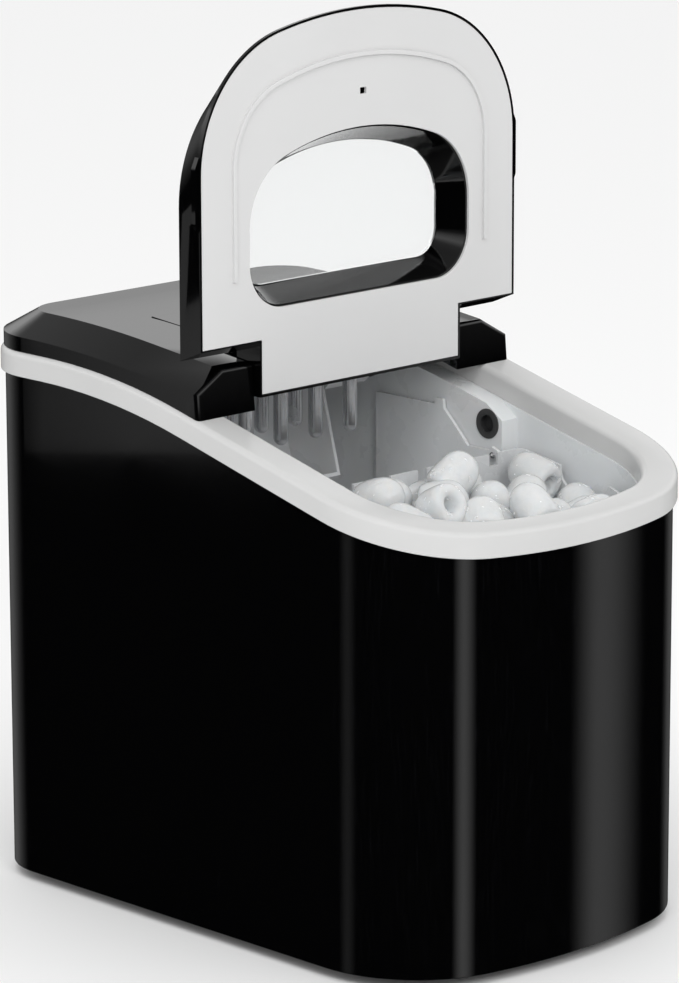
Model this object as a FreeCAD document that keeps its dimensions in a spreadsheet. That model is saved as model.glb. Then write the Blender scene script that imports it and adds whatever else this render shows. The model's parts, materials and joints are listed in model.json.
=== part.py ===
# Countertop bullet-ice maker with its lid standing open, in millimetres.
# The rounded nose faces -Y, up is +Z and the feet stand on Z = 0.
# The origin is under the middle of the machine, on the surface that it stands on.
import FreeCAD, Part
import math
import os
import re

import Sketcher
from FreeCAD import Placement, Rotation, Vector

TINY = 1e-9

# Driving dimensions: millimetres and degrees.
SIZES = {
    # casing
    "foot_height": 6.0,
    "foot_radius": 11.0,
    "casing_half": 118.5,
    "casing_reach": 177.0,
    "nose_corner": 68.3,
    "nose_spring": 103.5,
    "rear_corner": 41.6,
    "casing_wall": 2.5,
    "base_depth": 14.0,
    "panel_half": 66.0,
    # slanting joint between casing and rim
    "rim_level": 292.0,
    "knee_place": 60.9,
    "rim_slope": 14.22,
    "knee_radius": 460.0,
    "rim_height": 13.7,
    "rim_overhang": 2.5,
    "rim_round": 3.5,
    # tank and its opening
    "opening_half": 98.0,
    "opening_front": 164.0,
    "opening_corner": 56.0,
    "opening_rear": 150.0,
    "tank_wall": 2.5,
    "chamber_half": 84.5,
    "chamber_front": 36.0,
    "chamber_rear": 106.0,
    "chamber_floor": 195.0,
    "basin_rear": 12.0,
    "basin_floor": 27.0,
    "ledge_level": 138.0,
    # rear cover
    "cover_half": 119.0,
    "cover_reach": 177.5,
    "cover_top": 325.0,
    "cover_front": 9.6,
    "cover_wall": 2.5,
    "cover_bevel_in": 19.5,
    "cover_bevel_down": 11.0,
    "ear_half": 77.5,
    # lid and hinge
    "hinge_place": 4.4,
    "hinge_level": 307.8,
    "pin_radius": 2.5,
    "tongue_half": 74.9,
    "tongue_bottom": 297.05,
    "lid_half": 118.0,
    "lid_shoulder": 326.8,
    "lid_top": 498.0,
    "lid_corner": 74.1,
    "lid_spring": 418.9,
    "lid_face": 11.0,
    "lid_depth": 20.0,
    "lid_edge": 1.5,
    "lid_wall": 1.2,
    "lid_crown": 5.0,
    "lid_lean": 1.2,
    "liner_thick": 2.0,
    "grip_level": 409.5,
    "ridge_half": 95.0,
    "ridge_top": 474.0,
    "ridge_spring": 420.9,
    "ridge_corner": 45.4,
    "window_half": 83.4,
    "window_bottom": 343.0,
    "window_top": 434.4,
    "window_spring": 386.5,
    "window_corner": 40.6,
    "window_taper": 11.0,
    "lens_thick": 2.2,
    # basket
    "basket_half": 92.0,
    "basket_front": 158.0,
    "basket_rear": 42.0,
    "basket_corner": 50.0,
    "basket_bottom": 139.0,
    "basket_top": 247.0,
    "basket_wall": 1.8,
    # freezing group
    "finger_radius": 4.2,
    "finger_tip": 256.0,
    "tube_level": 293.0,
    "front_row": 26.0,
    "rear_row": 56.0,
    "tray_pivot_place": 70.0,
    "tray_pivot_level": 281.0,
    "tray_tilt": 75.0,
    "shaft_radius": 4.0,
    "shovel_pivot_place": -33.0,
    "shovel_pivot_level": 242.7,
    # cooling group
    "compressor_radius": 48.0,
    "fan_radius": 36.0,
    "fan_place": 64.0,
    "fan_level": 78.0,
    "motor_radius": 14.0,
    # controls
    "button_radius": 8.0,
    "panel_tilt": 4.9,
    "gap": 0.3,
}

doc = FreeCAD.newDocument("IceMaker")
sheet = doc.addObject("Spreadsheet::Sheet", "Sizes")
for row, (alias, number) in enumerate(SIZES.items(), start=1):
    sheet.set(f"A{row}", alias)
    sheet.set(f"B{row}", str(number))
    sheet.setAlias(f"B{row}", alias)
doc.recompute()

ALIASES = re.compile(r"\b(" + "|".join(SIZES) + r")\b")
SUB_PARTS = []


# ---- expressions, sketches and features ----

def ex(text):
    """An expression on the sheet, from one written with bare size names."""
    return ALIASES.sub(r"Sizes.\1", str(text))


def value(text):
    """The number that an expression has now."""
    number = sheet.evalExpression(ex(text))
    return float(getattr(number, "Value", number))


def keep(thing, label):
    """Mark a document object as the finished sub-part of this name."""
    thing.Label = label
    SUB_PARTS.append(thing)
    return thing


def new_body(name):
    return doc.addObject("PartDesign::Body", name)


def new_sketch(body, name, role, offset="0"):
    """An empty sketch on one of the body's origin planes, moved along its normal."""
    sketch = body.newObject("Sketcher::SketchObject", name)
    plane = next(f for f in body.Origin.OriginFeatures if f.Role == role)
    sketch.AttachmentSupport = (plane, "")
    sketch.MapMode = "FlatFace"
    sketch.setExpression("AttachmentOffset.Base.z", ex(offset))
    return sketch


def datum(sketch, constraint, text):
    index = sketch.addConstraint(constraint)
    sketch.setExpression(f"Constraints[{index}]", ex(text))


def fix_point(sketch, shape, point, x, y):
    """Hold a point of the sketch at two expressions."""
    for kind, text, axis in (("DistanceX", x, -2), ("DistanceY", y, -1)):
        number = value(text)
        if abs(number) < TINY:
            sketch.addConstraint(Sketcher.Constraint("PointOnObject", shape, point, axis))
        else:
            datum(sketch, Sketcher.Constraint(kind, -1, 1, shape, point, number), text)


def add_chain(sketch, corners):
    """Lines through corners (x, y, radius); a radius other than None rounds its corner.

    Returns the number of the first line and of the last."""
    spots = [Vector(value(x), value(y), 0) for x, y, _ in corners]
    starts, ends = list(spots[:-1]), list(spots[1:])
    arcs = {}
    for k in range(1, len(corners) - 1):
        radius = corners[k][2]
        if radius is None:
            continue
        back = (spots[k - 1] - spots[k]).normalize()
        on = (spots[k + 1] - spots[k]).normalize()
        half_angle = back.getAngle(on) / 2
        reach = value(radius) / math.tan(half_angle)
        ends[k - 1] = spots[k] + back * reach
        starts[k] = spots[k] + on * reach
        centre = spots[k] + (back + on).normalize() * (value(radius) / math.sin(half_angle))
        turns_left = back.cross(on).z < 0
        arcs[k] = centre, turns_left
    lines = []
    for k, (start, end) in enumerate(zip(starts, ends)):
        line = sketch.addGeometry(Part.LineSegment(start, end), False)
        lines.append(line)
        if k == 0:
            fix_point(sketch, line, 1, *corners[0][:2])
            continue
        x, y, radius = corners[k]
        if radius is None:
            sketch.addConstraint(Sketcher.Constraint("Coincident", lines[k - 1], 2, line, 1))
            fix_point(sketch, line, 1, x, y)
            continue
        centre, turns_left = arcs[k]
        first, last = (ends[k - 1], start) if turns_left else (start, ends[k - 1])
        angles = [math.atan2(p.y - centre.y, p.x - centre.x) for p in (first, last)]
        circle = Part.Circle(centre, Vector(0, 0, 1), value(radius))
        arc = sketch.addGeometry(Part.ArcOfCircle(circle, *angles), False)
        corner = sketch.addGeometry(Part.Point(spots[k]), True)
        fix_point(sketch, corner, 1, x, y)
        for joined in (lines[k - 1], line):
            sketch.addConstraint(Sketcher.Constraint("PointOnObject", corner, 1, joined))
        near, far = (1, 2) if turns_left else (2, 1)
        sketch.addConstraint(Sketcher.Constraint("Tangent", lines[k - 1], 2, arc, near))
        sketch.addConstraint(Sketcher.Constraint("Tangent", line, 1, arc, far))
        datum(sketch, Sketcher.Constraint("Radius", arc, value(radius)), radius)
    fix_point(sketch, lines[-1], 2, *corners[-1][:2])
    return lines[0], lines[-1]


def polygon(sketch, corners):
    """A closed outline through corners (x, y, radius); the first corner is sharp."""
    add_chain(sketch, corners + [corners[0]])


def rectangle(sketch, x_low, y_low, x_high, y_high):
    polygon(sketch, [(x_low, y_low, None), (x_high, y_low, None),
                     (x_high, y_high, None), (x_low, y_high, None)])


def circle(sketch, x, y, radius):
    shape = sketch.addGeometry(
        Part.Circle(Vector(value(x), value(y), 0), Vector(0, 0, 1), value(radius)), False)
    fix_point(sketch, shape, 3, x, y)
    datum(sketch, Sketcher.Constraint("Radius", shape, value(radius)), radius)


def arch(sketch, half, tip, spring, corner, tail, grow="0"):
    """A closed outline: an arch of three tangent arcs on a straight-sided tail.

    The tail is a list of (half width, place, radius) from the spring outwards, mirrored
    about the vertical axis. The whole outline is moved outwards by grow."""
    side = 1 if value(tip) > value(spring) else -1
    out = "+" if side > 0 else "-"
    back = "-" if side > 0 else "+"
    half = f"({half} + {grow})"
    tip = f"({tip} {out} ({grow}))"
    corner = f"({corner} + {grow})"
    rise = f"({out}1 * ({tip} - ({spring})))"
    inset = f"({half} - {corner})"
    crown = f"(({corner}^2 - {inset}^2 - {rise}^2) / (2 * ({corner} - {rise})))"
    wide = [(f"{x} + {grow}", f"{y} {back} ({grow})", r and f"{r} + {grow}") for x, y, r in tail]
    near, far = ("-", "+") if side > 0 else ("+", "-")
    corners = [(f"{near}{half}", spring, None)]
    corners += [(f"{near}({x})", y, r) for x, y, r in wide]
    corners += [(f"{far}({x})", y, r) for x, y, r in reversed(wide)]
    corners += [(f"{far}{half}", spring, None)]
    first, last = add_chain(sketch, corners)
    flip = 0 if side > 0 else math.pi
    middle = value(tip) - side * value(crown)
    turn = math.atan2(side * (value(spring) - middle), value(inset))
    arcs = []
    for x, y, radius, low, high in (
            (side * value(inset), value(spring), value(corner), 0, turn),
            (0, middle, value(crown), turn, math.pi - turn),
            (-side * value(inset), value(spring), value(corner), math.pi - turn, math.pi)):
        ring = Part.Circle(Vector(x, y, 0), Vector(0, 0, 1), radius)
        arcs.append(sketch.addGeometry(Part.ArcOfCircle(ring, low + flip, high + flip), False))
    for one, end, other, start in ((last, 2, arcs[0], 1), (arcs[0], 2, arcs[1], 1),
                                   (arcs[1], 2, arcs[2], 1), (arcs[2], 2, first, 1)):
        sketch.addConstraint(Sketcher.Constraint("Tangent", one, end, other, start))
    for shape, text in zip(arcs, (corner, crown, corner)):
        datum(sketch, Sketcher.Constraint("Radius", shape, value(text)), text)


def pad(body, sketch, length, back=False):
    feature = body.newObject("PartDesign::Pad", sketch.Name + "Pad")
    feature.Profile = sketch
    feature.Reversed = back
    feature.setExpression("Length", ex(length))
    sketch.Visibility = False
    doc.recompute()
    return feature


def pocket(body, sketch, length=None, back=False):
    """Cut the sketch to a length, or both ways through everything."""
    before = body.Shape.Volume
    feature = body.newObject("PartDesign::Pocket", sketch.Name + "Pocket")
    feature.Profile = sketch
    feature.Reversed = back
    if length is None:
        feature.Type = "ThroughAll"
        feature.SideType = "Symmetric"
    else:
        feature.setExpression("Length", ex(length))
    doc.recompute()
    if body.Shape.Volume > before - TINY:
        raise RuntimeError(f"{feature.Label} cuts nothing")
    return feature


def revolve(body, sketch, axis="V_Axis"):
    feature = body.newObject("PartDesign::Revolution", sketch.Name + "Turn")
    feature.Profile = sketch
    feature.ReferenceAxis = (sketch, [axis])
    feature.Angle = 360
    doc.recompute()
    return feature


# ---- primitives and booleans ----

TURNS = {"x": Rotation(Vector(0, 1, 0), 90), "y": Rotation(Vector(1, 0, 0), -90), "z": Rotation()}


def place(thing, x, y, z):
    for axis, text in zip("xyz", (x, y, z)):
        thing.setExpression(f"Placement.Base.{axis}", ex(text))


def block(name, x_low, x_high, y_low, y_high, z_low, z_high):
    """A box between six expressions."""
    box = doc.addObject("Part::Box", name)
    for side, low, high in (("Length", x_low, x_high), ("Width", y_low, y_high),
                            ("Height", z_low, z_high)):
        box.setExpression(side, ex(f"({high}) - ({low})"))
    place(box, x_low, y_low, z_low)
    return box


def rod(name, axis, radius, length, x, y, z):
    """A cylinder that runs from (x, y, z) along a positive axis."""
    bar = doc.addObject("Part::Cylinder", name)
    bar.setExpression("Radius", ex(radius))
    bar.setExpression("Height", ex(length))
    bar.Placement = Placement(Vector(), TURNS[axis])
    place(bar, x, y, z)
    return bar


def joined(name, parts):
    fuse = doc.addObject("Part::MultiFuse", name)
    fuse.Shapes = parts
    return fuse


def without(name, base, tools):
    cut = doc.addObject("Part::Cut", name)
    cut.Base = base
    cut.Tool = tools[0] if len(tools) == 1 else joined(name + "Tools", tools)
    return cut


def group(name, parts):
    """Several separate solids that make one node."""
    together = doc.addObject("Part::Compound", name)
    together.Links = parts
    return together


def tube(name, points, radius, bend, bore=None):
    """A round bar or pipe along straight runs joined by tangent arcs."""
    edges, here = [], points[0]
    for k in range(1, len(points) - 1):
        back = (points[k - 1] - points[k]).normalize()
        on = (points[k + 1] - points[k]).normalize()
        half_angle = back.getAngle(on) / 2
        reach = bend / math.tan(half_angle)
        start, end = points[k] + back * reach, points[k] + on * reach
        centre = points[k] + (back + on).normalize() * (bend / math.sin(half_angle))
        middle = centre + (points[k] - centre).normalize() * bend
        edges += [Part.LineSegment(here, start).toShape(), Part.Arc(start, middle, end).toShape()]
        here = end
    edges.append(Part.LineSegment(here, points[-1]).toShape())
    spine = Part.Wire(edges)
    along = points[1] - points[0]

    def swept(size):
        ring = Part.Wire([Part.Circle(points[0], along, size).toShape()])
        return spine.makePipeShell([ring], True, True)

    shape = swept(radius) if bore is None else swept(radius).cut(swept(bore))
    thing = doc.addObject("Part::Feature", name)
    thing.Shape = shape
    thing.Placement = Placement()
    return thing


# ---- outlines that several pieces share ----

def casing_outline(sketch, grow="0"):
    arch(sketch, "casing_half", "-casing_reach", "-nose_spring", "nose_corner",
         [("casing_half", "casing_reach", "rear_corner")], grow)


def opening_outline(sketch, grow="0"):
    arch(sketch, "opening_half", "-opening_front", "-nose_spring", "opening_corner",
         [("opening_half", "opening_rear", "rear_corner")], grow)


def lid_outline(sketch, grow="0"):
    arch(sketch, "lid_half", "lid_top", "lid_spring", "lid_corner",
         [("lid_half", "lid_shoulder", None), ("tongue_half", "lid_shoulder", None),
          ("tongue_half", "tongue_bottom", None)], grow)


def low_lid_outline(sketch, grow="0"):
    """The lid's outline with deeper shoulders, which are then cut back on a slant."""
    arch(sketch, "lid_half", "lid_top", "lid_spring", "lid_corner",
         [("lid_half", "lid_shoulder - 9", None), ("tongue_half", "lid_shoulder - 9", None),
          ("tongue_half", "tongue_bottom", None)], grow)


def window_outline(sketch, grow="0"):
    arch(sketch, "window_half", "window_top", "window_spring", "window_corner",
         [("window_half", "window_bottom", "25")], grow)


FAR = "260"


def rim_line(shift):
    """Corners of the line between casing and rim, seen from the side, moved up by shift."""
    drop = f"({FAR} + knee_place) * tan(rim_slope)"
    return [(f"-{FAR}", f"rim_level + {shift} - {drop}", None),
            ("knee_place", f"rim_level + {shift}", "knee_radius"),
            (FAR, f"rim_level + {shift}", None)]


def cut_above_rim_line(body, name, shift):
    """Take away all of a body above the rim line."""
    sketch = new_sketch(body, name, "YZ_Plane")
    polygon(sketch, [(FAR, "600", None), (f"-{FAR}", "600", None)] + rim_line(shift))
    return pocket(body, sketch)


def cut_below_rim_line(body, name, shift):
    """Take away all of a body below the rim line."""
    sketch = new_sketch(body, name, "YZ_Plane")
    polygon(sketch, [(FAR, "-10", None)] + list(reversed(rim_line(shift)))
            + [(f"-{FAR}", "-10", None)])
    return pocket(body, sketch)


# ---- casing ----

def outer_casing():
    """Gloss wrap: nose, sides and rear corners, open at the rear for the louvred panel."""
    body = new_body("OuterCasing")
    outside = new_sketch(body, "CasingOutside", "XY_Plane", "foot_height")
    casing_outline(outside)
    pad(body, outside, "rim_level")
    inside = new_sketch(body, "CasingInside", "XY_Plane")
    casing_outline(inside, "-casing_wall")
    pocket(body, inside)
    cut_above_rim_line(body, "CasingTop", "0")
    window = new_sketch(body, "CasingRear", "XZ_Plane", "-casing_reach - 5")
    rectangle(window, "-panel_half", "25", "panel_half", "250")
    pocket(body, window, "15", back=True)
    screws = new_sketch(body, "CasingScrews", "XZ_Plane", "-casing_reach - 5")
    for x, z in SCREW_SPOTS:
        circle(screws, x, z, "1.5")
    pocket(body, screws, "15", back=True)
    slot = new_sketch(body, "CasingVent", "YZ_Plane", "casing_half + 2")
    rectangle(slot, "70", "40", "125", "43.5")
    vent = pocket(body, slot, "6")
    rows = body.newObject("PartDesign::LinearPattern", "CasingVents")
    rows.Originals = [vent]
    rows.Direction = (slot, ["V_Axis"])
    rows.Length = 72
    rows.Occurrences = 9
    body.Tip = rows
    hole = new_sketch(body, "CasingDrain", "YZ_Plane", "casing_half + 2")
    circle(hole, "-60", "36", "11")
    pocket(body, hole, "6")
    return keep(body, "outer_casing")


SCREW_SPOTS = [("-panel_half - 5", "40"), ("panel_half + 5", "40"),
               ("-panel_half - 5", "236"), ("panel_half + 5", "236")]


def back_panel():
    """Louvred panel that closes the rear opening from inside."""
    body = new_body("BackPanel")
    flange = new_sketch(body, "PanelFlange", "XZ_Plane", "-(casing_reach - casing_wall)")
    rectangle(flange, "-panel_half - 10", "21", "panel_half + 10", "258")
    pad(body, flange, "2.5")
    plate = new_sketch(body, "PanelPlate", "XZ_Plane", "-(casing_reach - casing_wall)")
    rectangle(plate, "gap - panel_half", "25 + gap", "panel_half - gap", "250 - gap")
    pad(body, plate, "2", back=True)
    for side, low, high in (("Left", "-60", "-6"), ("Right", "6", "60")):
        slot = new_sketch(body, f"PanelSlot{side}", "XZ_Plane", "-casing_reach - 5")
        rectangle(slot, low, "75", high, "79")
        cut = pocket(body, slot, "20", back=True)
        rows = body.newObject("PartDesign::LinearPattern", f"PanelRows{side}")
        rows.Originals = [cut]
        rows.Direction = (slot, ["V_Axis"])
        rows.Length = 150
        rows.Occurrences = 16
        body.Tip = rows
        doc.recompute()
    holes = new_sketch(body, "PanelHoles", "XZ_Plane", "-casing_reach - 5")
    rectangle(holes, "-58.2", "35.3", "-31.8", "54.7")
    for x, z in SCREW_SPOTS:
        circle(holes, x, z, "1.4")
    pocket(body, holes, "20", back=True)
    return keep(body, "back_panel")


def panel_screws():
    """Pan-head screws at the corners of the rear panel."""
    screws = []
    for k, (x, z) in enumerate(SCREW_SPOTS):
        head = rod(f"PanelHead{k}", "y", "3", "1.6", x, "casing_reach", z)
        shank = rod(f"PanelShank{k}", "y", "1.4", "8", x, "casing_reach - 8", z)
        recess = block(f"PanelRecess{k}", f"{x} - 2", f"{x} + 2", "casing_reach + 0.8",
                       "casing_reach + 2", f"{z} - 0.4", f"{z} + 0.4")
        screws.append(without(f"PanelScrew{k}", joined(f"PanelBolt{k}", [head, shank]), [recess]))
    return keep(group("PanelScrews", screws), "panel_screws")


def base_pan():
    """Shallow plastic tray that carries the cooling group and closes the casing below."""
    body = new_body("BasePan")
    outside = new_sketch(body, "BaseOutside", "XY_Plane", "foot_height")
    casing_outline(outside, "-casing_wall - gap")
    pad(body, outside, "base_depth")
    inside = new_sketch(body, "BaseInside", "XY_Plane", "foot_height + 2.5")
    casing_outline(inside, "-casing_wall - gap - 2.5")
    pocket(body, inside, "base_depth", back=True)
    return keep(body, "base_pan")


FOOT_SPOTS = [(-78, -92), (78, -92), (-78, 130), (78, 130)]


def rubber_feet():
    feet = []
    for k, (x, y) in enumerate(FOOT_SPOTS):
        cone = doc.addObject("Part::Cone", f"Foot{k}")
        cone.setExpression("Radius1", ex("foot_radius - 1.5"))
        cone.setExpression("Radius2", ex("foot_radius"))
        cone.setExpression("Height", ex("foot_height"))
        place(cone, x, y, "0")
        feet.append(cone)
    return keep(group("RubberFeet", feet), "rubber_feet")


def top_rim():
    """White frame between the casing and the lid."""
    body = new_body("TopRim")
    outside = new_sketch(body, "RimOutside", "XY_Plane", "200")
    casing_outline(outside, "rim_overhang")
    pad(body, outside, "150")
    inside = new_sketch(body, "RimInside", "XY_Plane")
    opening_outline(inside)
    pocket(body, inside)
    cut_below_rim_line(body, "RimUnderside", "0")
    cut_above_rim_line(body, "RimTop", "rim_height")
    base, rounded = body.Tip, top_edges(body, "rim_height")
    fillet = body.newObject("PartDesign::Fillet", "RimRound")
    fillet.Base = (base, rounded)
    fillet.setExpression("Radius", ex("rim_round"))
    body.Tip = fillet
    doc.recompute()
    return keep(body, "top_rim")


def rim_height_at(y, shift):
    """Height of the rim line at a place along Y, moved up by shift."""
    slope = math.tan(math.radians(value("rim_slope")))
    radius = value("knee_radius")
    knee = value("knee_place")
    reach = radius * math.tan(math.radians(value("rim_slope")) / 2)
    level = value("rim_level") + value(shift)
    if y >= knee + reach:
        return level
    if y <= knee - reach * math.cos(math.radians(value("rim_slope"))):
        return level - (knee - y) * slope
    return level - radius + math.sqrt(radius ** 2 - (knee + reach - y) ** 2)


def top_edges(body, shift):
    """Names of the edges where the body's upright walls meet the rim line moved up by shift."""
    walls = []
    for face in body.Shape.Faces:
        u_low, u_high, v_low, v_high = face.ParameterRange
        if abs(face.normalAt((u_low + u_high) / 2, (v_low + v_high) / 2).z) < 0.01:
            walls += face.Edges
    names = []
    for number, edge in enumerate(body.Shape.Edges, start=1):
        low, high = edge.ParameterRange
        points = [edge.valueAt(low + (high - low) * part) for part in (0, 0.5, 1)]
        on_line = all(abs(p.z - rim_height_at(p.y, shift)) < 0.01 for p in points)
        if on_line and any(edge.isSame(other) for other in walls):
            names.append(f"Edge{number}")
    return names


# ---- tank ----

def basin_outline(sketch, grow="0"):
    """Front basin, which holds the basket and the reservoir under it."""
    arch(sketch, "(opening_half - 1)", "(1 - opening_front)", "-nose_spring",
         "(opening_corner - 1)", [("(opening_half - 1)", "-chamber_front", None)], grow)


def tank_form():
    """The whole tank: front basin over the reservoir, and a narrower freezing chamber behind."""
    shell = new_body("TankShell")
    outside = new_sketch(shell, "TankOutside", "XY_Plane", "basin_floor - tank_wall")
    basin_outline(outside, "tank_wall")
    pad(shell, outside, "300")
    sump = new_sketch(shell, "SumpOutside", "XY_Plane", "basin_floor - tank_wall")
    rectangle(sump, "-chamber_half - tank_wall", "-chamber_front - 5",
              "chamber_half + tank_wall", "tank_wall - basin_rear")
    pad(shell, sump, "300")
    chamber = new_sketch(shell, "ChamberOutside", "XY_Plane", "chamber_floor - tank_wall")
    rectangle(chamber, "-chamber_half - tank_wall", "-chamber_front - 5",
              "chamber_half + tank_wall", "chamber_rear + tank_wall")
    pad(shell, chamber, "150")
    shoulder = new_sketch(shell, "ShoulderOutside", "XY_Plane", "245")
    rectangle(shoulder, "-opening_half + 1 - tank_wall", "-chamber_front - 5",
              "opening_half - 1 + tank_wall", "12")
    pad(shell, shoulder, "100")
    basin = new_sketch(shell, "BasinInside", "XY_Plane", "ledge_level")
    basin_outline(basin)
    pocket(shell, basin, "250", back=True)
    reservoir = new_sketch(shell, "ReservoirInside", "XY_Plane", "basin_floor")
    basin_outline(reservoir, "-4")
    pocket(shell, reservoir, "250", back=True)
    back_sump = new_sketch(shell, "SumpInside", "XY_Plane", "basin_floor")
    rectangle(back_sump, "-chamber_half", "-chamber_front - 10", "chamber_half", "-basin_rear")
    pocket(shell, back_sump, "250", back=True)
    room = new_sketch(shell, "ChamberInside", "XY_Plane", "chamber_floor")
    rectangle(room, "-chamber_half", "-chamber_front - 10", "chamber_half", "chamber_rear")
    pocket(shell, room, "250", back=True)
    slant = new_sketch(shell, "ShoulderSlant", "YZ_Plane", "1 - opening_half")
    polygon(slant, [("-chamber_front - 10", "262", None), ("-chamber_front", "262", None),
                    ("0", "287", None), ("12 - tank_wall", "294", None),
                    ("12 - tank_wall", "400", None), ("-chamber_front - 10", "400", None)])
    pocket(shell, slant, "2 * (opening_half - 1)", back=True)
    cut_above_rim_line(shell, "TankTop", "0")
    flange = new_body("TankFlange")
    rest = new_sketch(flange, "FlangeOutside", "XY_Plane", "200")
    arch(rest, "(casing_half - casing_wall - gap)", "(casing_wall + gap - casing_reach)",
         "-nose_spring", "(nose_corner - casing_wall - gap)",
         [("(casing_half - casing_wall - gap)", "chamber_rear + 12", None)])
    pad(flange, rest, "150")
    hole = new_sketch(flange, "FlangeHole", "XY_Plane")
    basin_outline(hole, "1")
    pocket(flange, hole)
    hollow = new_sketch(flange, "FlangeChamber", "XY_Plane")
    rectangle(hollow, "-chamber_half - 1", "-chamber_front - 5", "chamber_half + 1",
              "chamber_rear + 1")
    pocket(flange, hollow)
    side = new_sketch(flange, "FlangeShoulder", "XY_Plane")
    rectangle(side, "-opening_half", "-chamber_front - 5", "opening_half", "11 - tank_wall")
    pocket(flange, side)
    cut_above_rim_line(flange, "FlangeTop", "0")
    cut_below_rim_line(flange, "FlangeUnderside", "-tank_wall")
    solid = joined("TankJoined", [shell, flange])
    holes = [
        rod("TankShaftHole", "x", "shaft_radius + 3", "200", "-100", "tray_pivot_place",
            "tray_pivot_level"),
        rod("TankSensorHole", "x", "6.5 + gap / 3", "200", "-100", "-25", "259"),
        rod("TankShovelHole", "x", "2.1", "2 * (chamber_half + 1.7)", "-chamber_half - 1.7",
            "shovel_pivot_place", "shovel_pivot_level"),
        rod("TankDrainHole", "x", "5.5", "20", "90", "-60", "36"),
        rod("TankHoseHole", "z", "5.5", "30", "92", "rear_row", "280"),
        rod("TankSuctionHole", "y", "4.4", "12", "60", "-18", "36"),
        rod("TankProbeHole", "y", "4.2", "12", "-50", "-18", "120"),
        block("TankTubeNotch", "16", "46", "chamber_rear - 5", "chamber_rear + 20",
              "tube_level - 8", "320"),
    ]
    return without("TankForm", solid, holes)


def tank_mouldings():
    """The tank's two mouldings, which are joined at the ledge that the basket stands on."""
    whole = tank_form()
    lower = block("TankLowerSpace", f"-{FAR}", FAR, f"-{FAR}", FAR, "0", "ledge_level")
    cup = doc.addObject("Part::Common", "WaterReservoir")
    cup.Base, cup.Tool = whole, lower
    keep(cup, "water_reservoir")
    keep(without("InnerTank", whole, [lower]), "inner_tank")


def tank_insulation():
    """Foam jacket between the basin and the casing."""
    body = new_body("Foam")
    outside = new_sketch(body, "FoamOutside", "XY_Plane", "base_depth + foot_height + 4")
    arch(outside, "(casing_half - casing_wall - 1)", "(casing_wall + 1 - casing_reach)",
         "-nose_spring", "(nose_corner - casing_wall - 1)",
         [("(casing_half - casing_wall - 1)", "-chamber_front", None)])
    pad(body, outside, "190")
    inside = new_sketch(body, "FoamInside", "XY_Plane")
    arch(inside, "(opening_half + tank_wall)", "(0 - opening_front - tank_wall)", "-nose_spring",
         "(opening_corner + tank_wall)",
         [("(opening_half + tank_wall)", "-chamber_front + 20", None)])
    pocket(body, inside)
    drain = rod("FoamDrain", "x", "9", "40", "90", "-60", "36")
    return keep(without("TankInsulation", body, [drain]), "tank_insulation")


# ---- rear cover ----

def cover_block(name, grow, drop):
    """The cover's solid form, moved inwards by grow and down by drop."""
    body = new_body(name)
    plan = new_sketch(body, name + "Plan", "XY_Plane", "250")
    front = f"{grow} - cover_front"
    polygon(plan, [(f"cover_half - {grow}", front, None),
                   (f"cover_half - {grow}", f"cover_reach - {grow}", f"rear_corner - {grow}"),
                   (f"{grow} - cover_half", f"cover_reach - {grow}", f"rear_corner - {grow}"),
                   (f"{grow} - cover_half", front, None)])
    pad(body, plan, "100")
    top = new_sketch(body, name + "Top", "YZ_Plane")
    level = f"cover_top - {drop}"
    polygon(top, [(FAR, "600", None), ("-100", "600", None),
                  ("-100", f"{level} - 0.114 * (94.7 + 100)", None),
                  ("94.7", level, "800"), (FAR, level, None)])
    pocket(body, top)
    base, edges = body.Tip, cover_edges(body)
    bevel = body.newObject("PartDesign::Chamfer", name + "Bevel")
    bevel.Base = (base, edges)
    bevel.ChamferType = "Two distances"
    bevel.setExpression("Size", ex("cover_bevel_down"))
    bevel.setExpression("Size2", ex("cover_bevel_in"))
    body.Tip = bevel
    doc.recompute()
    return body


# The ears' faces lean back by EAR_LEAN degrees from a line at y = EAR_FRONT, z = EAR_LEVEL.
EAR_LEAN = 5
EAR_FRONT = -8.5
EAR_LEVEL = 280
EAR_ROUND = 2.5


def leaning_slab(name, back):
    """What lies in front of the ears' leaning faces, moved back by a distance."""
    slab = doc.addObject("Part::Box", name)
    slab.Length, slab.Width, slab.Height = 300, 30, 70
    front = EAR_FRONT - 30 / math.cos(math.radians(EAR_LEAN)) + back
    slab.Placement = Placement(Vector(-150, front, EAR_LEVEL), Rotation(Vector(1, 0, 0), -EAR_LEAN))
    return slab


def cover_edges(body):
    """Names of the edges round the top of the cover, all but the front one."""
    names = []
    front = min(v.Y for v in body.Shape.Vertexes)
    for face in body.Shape.Faces:
        u_low, u_high, v_low, v_high = face.ParameterRange
        normal = face.normalAt((u_low + u_high) / 2, (v_low + v_high) / 2)
        if abs(normal.z) > 0.01:
            continue
        for edge in face.Edges:
            points = edge.Vertexes
            high = min(p.Z for p in points) > value("cover_top") - 35
            ahead = max(p.Y for p in points) < front + 1
            if high and not ahead:
                number = next(n for n, e in enumerate(body.Shape.Edges, 1) if e.isSame(edge))
                names.append(f"Edge{number}")
    return names


def panel_frame(thing, x, y, z):
    """Lay a thing out on the slanted control panel; x, y, z are in the panel's own frame."""
    tilt = math.radians(value("panel_tilt"))
    spot = Vector(x, y * math.cos(tilt) - z * math.sin(tilt), y * math.sin(tilt) + z * math.cos(tilt))
    turn = Rotation(Vector(1, 0, 0), value("panel_tilt"))
    thing.Placement = Placement(PANEL_SPOT + spot, turn)
    return thing


PANEL_SPOT = Vector(0, 70, 322.2)


def panel_block(name, length, width, height, z_low, x=0, y=0):
    box = doc.addObject("Part::Box", name)
    for side, number in (("Length", length), ("Width", width), ("Height", height)):
        box.setExpression(side, ex(number))
    return panel_frame(box, x - value(length) / 2, y - value(width) / 2, z_low)


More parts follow.
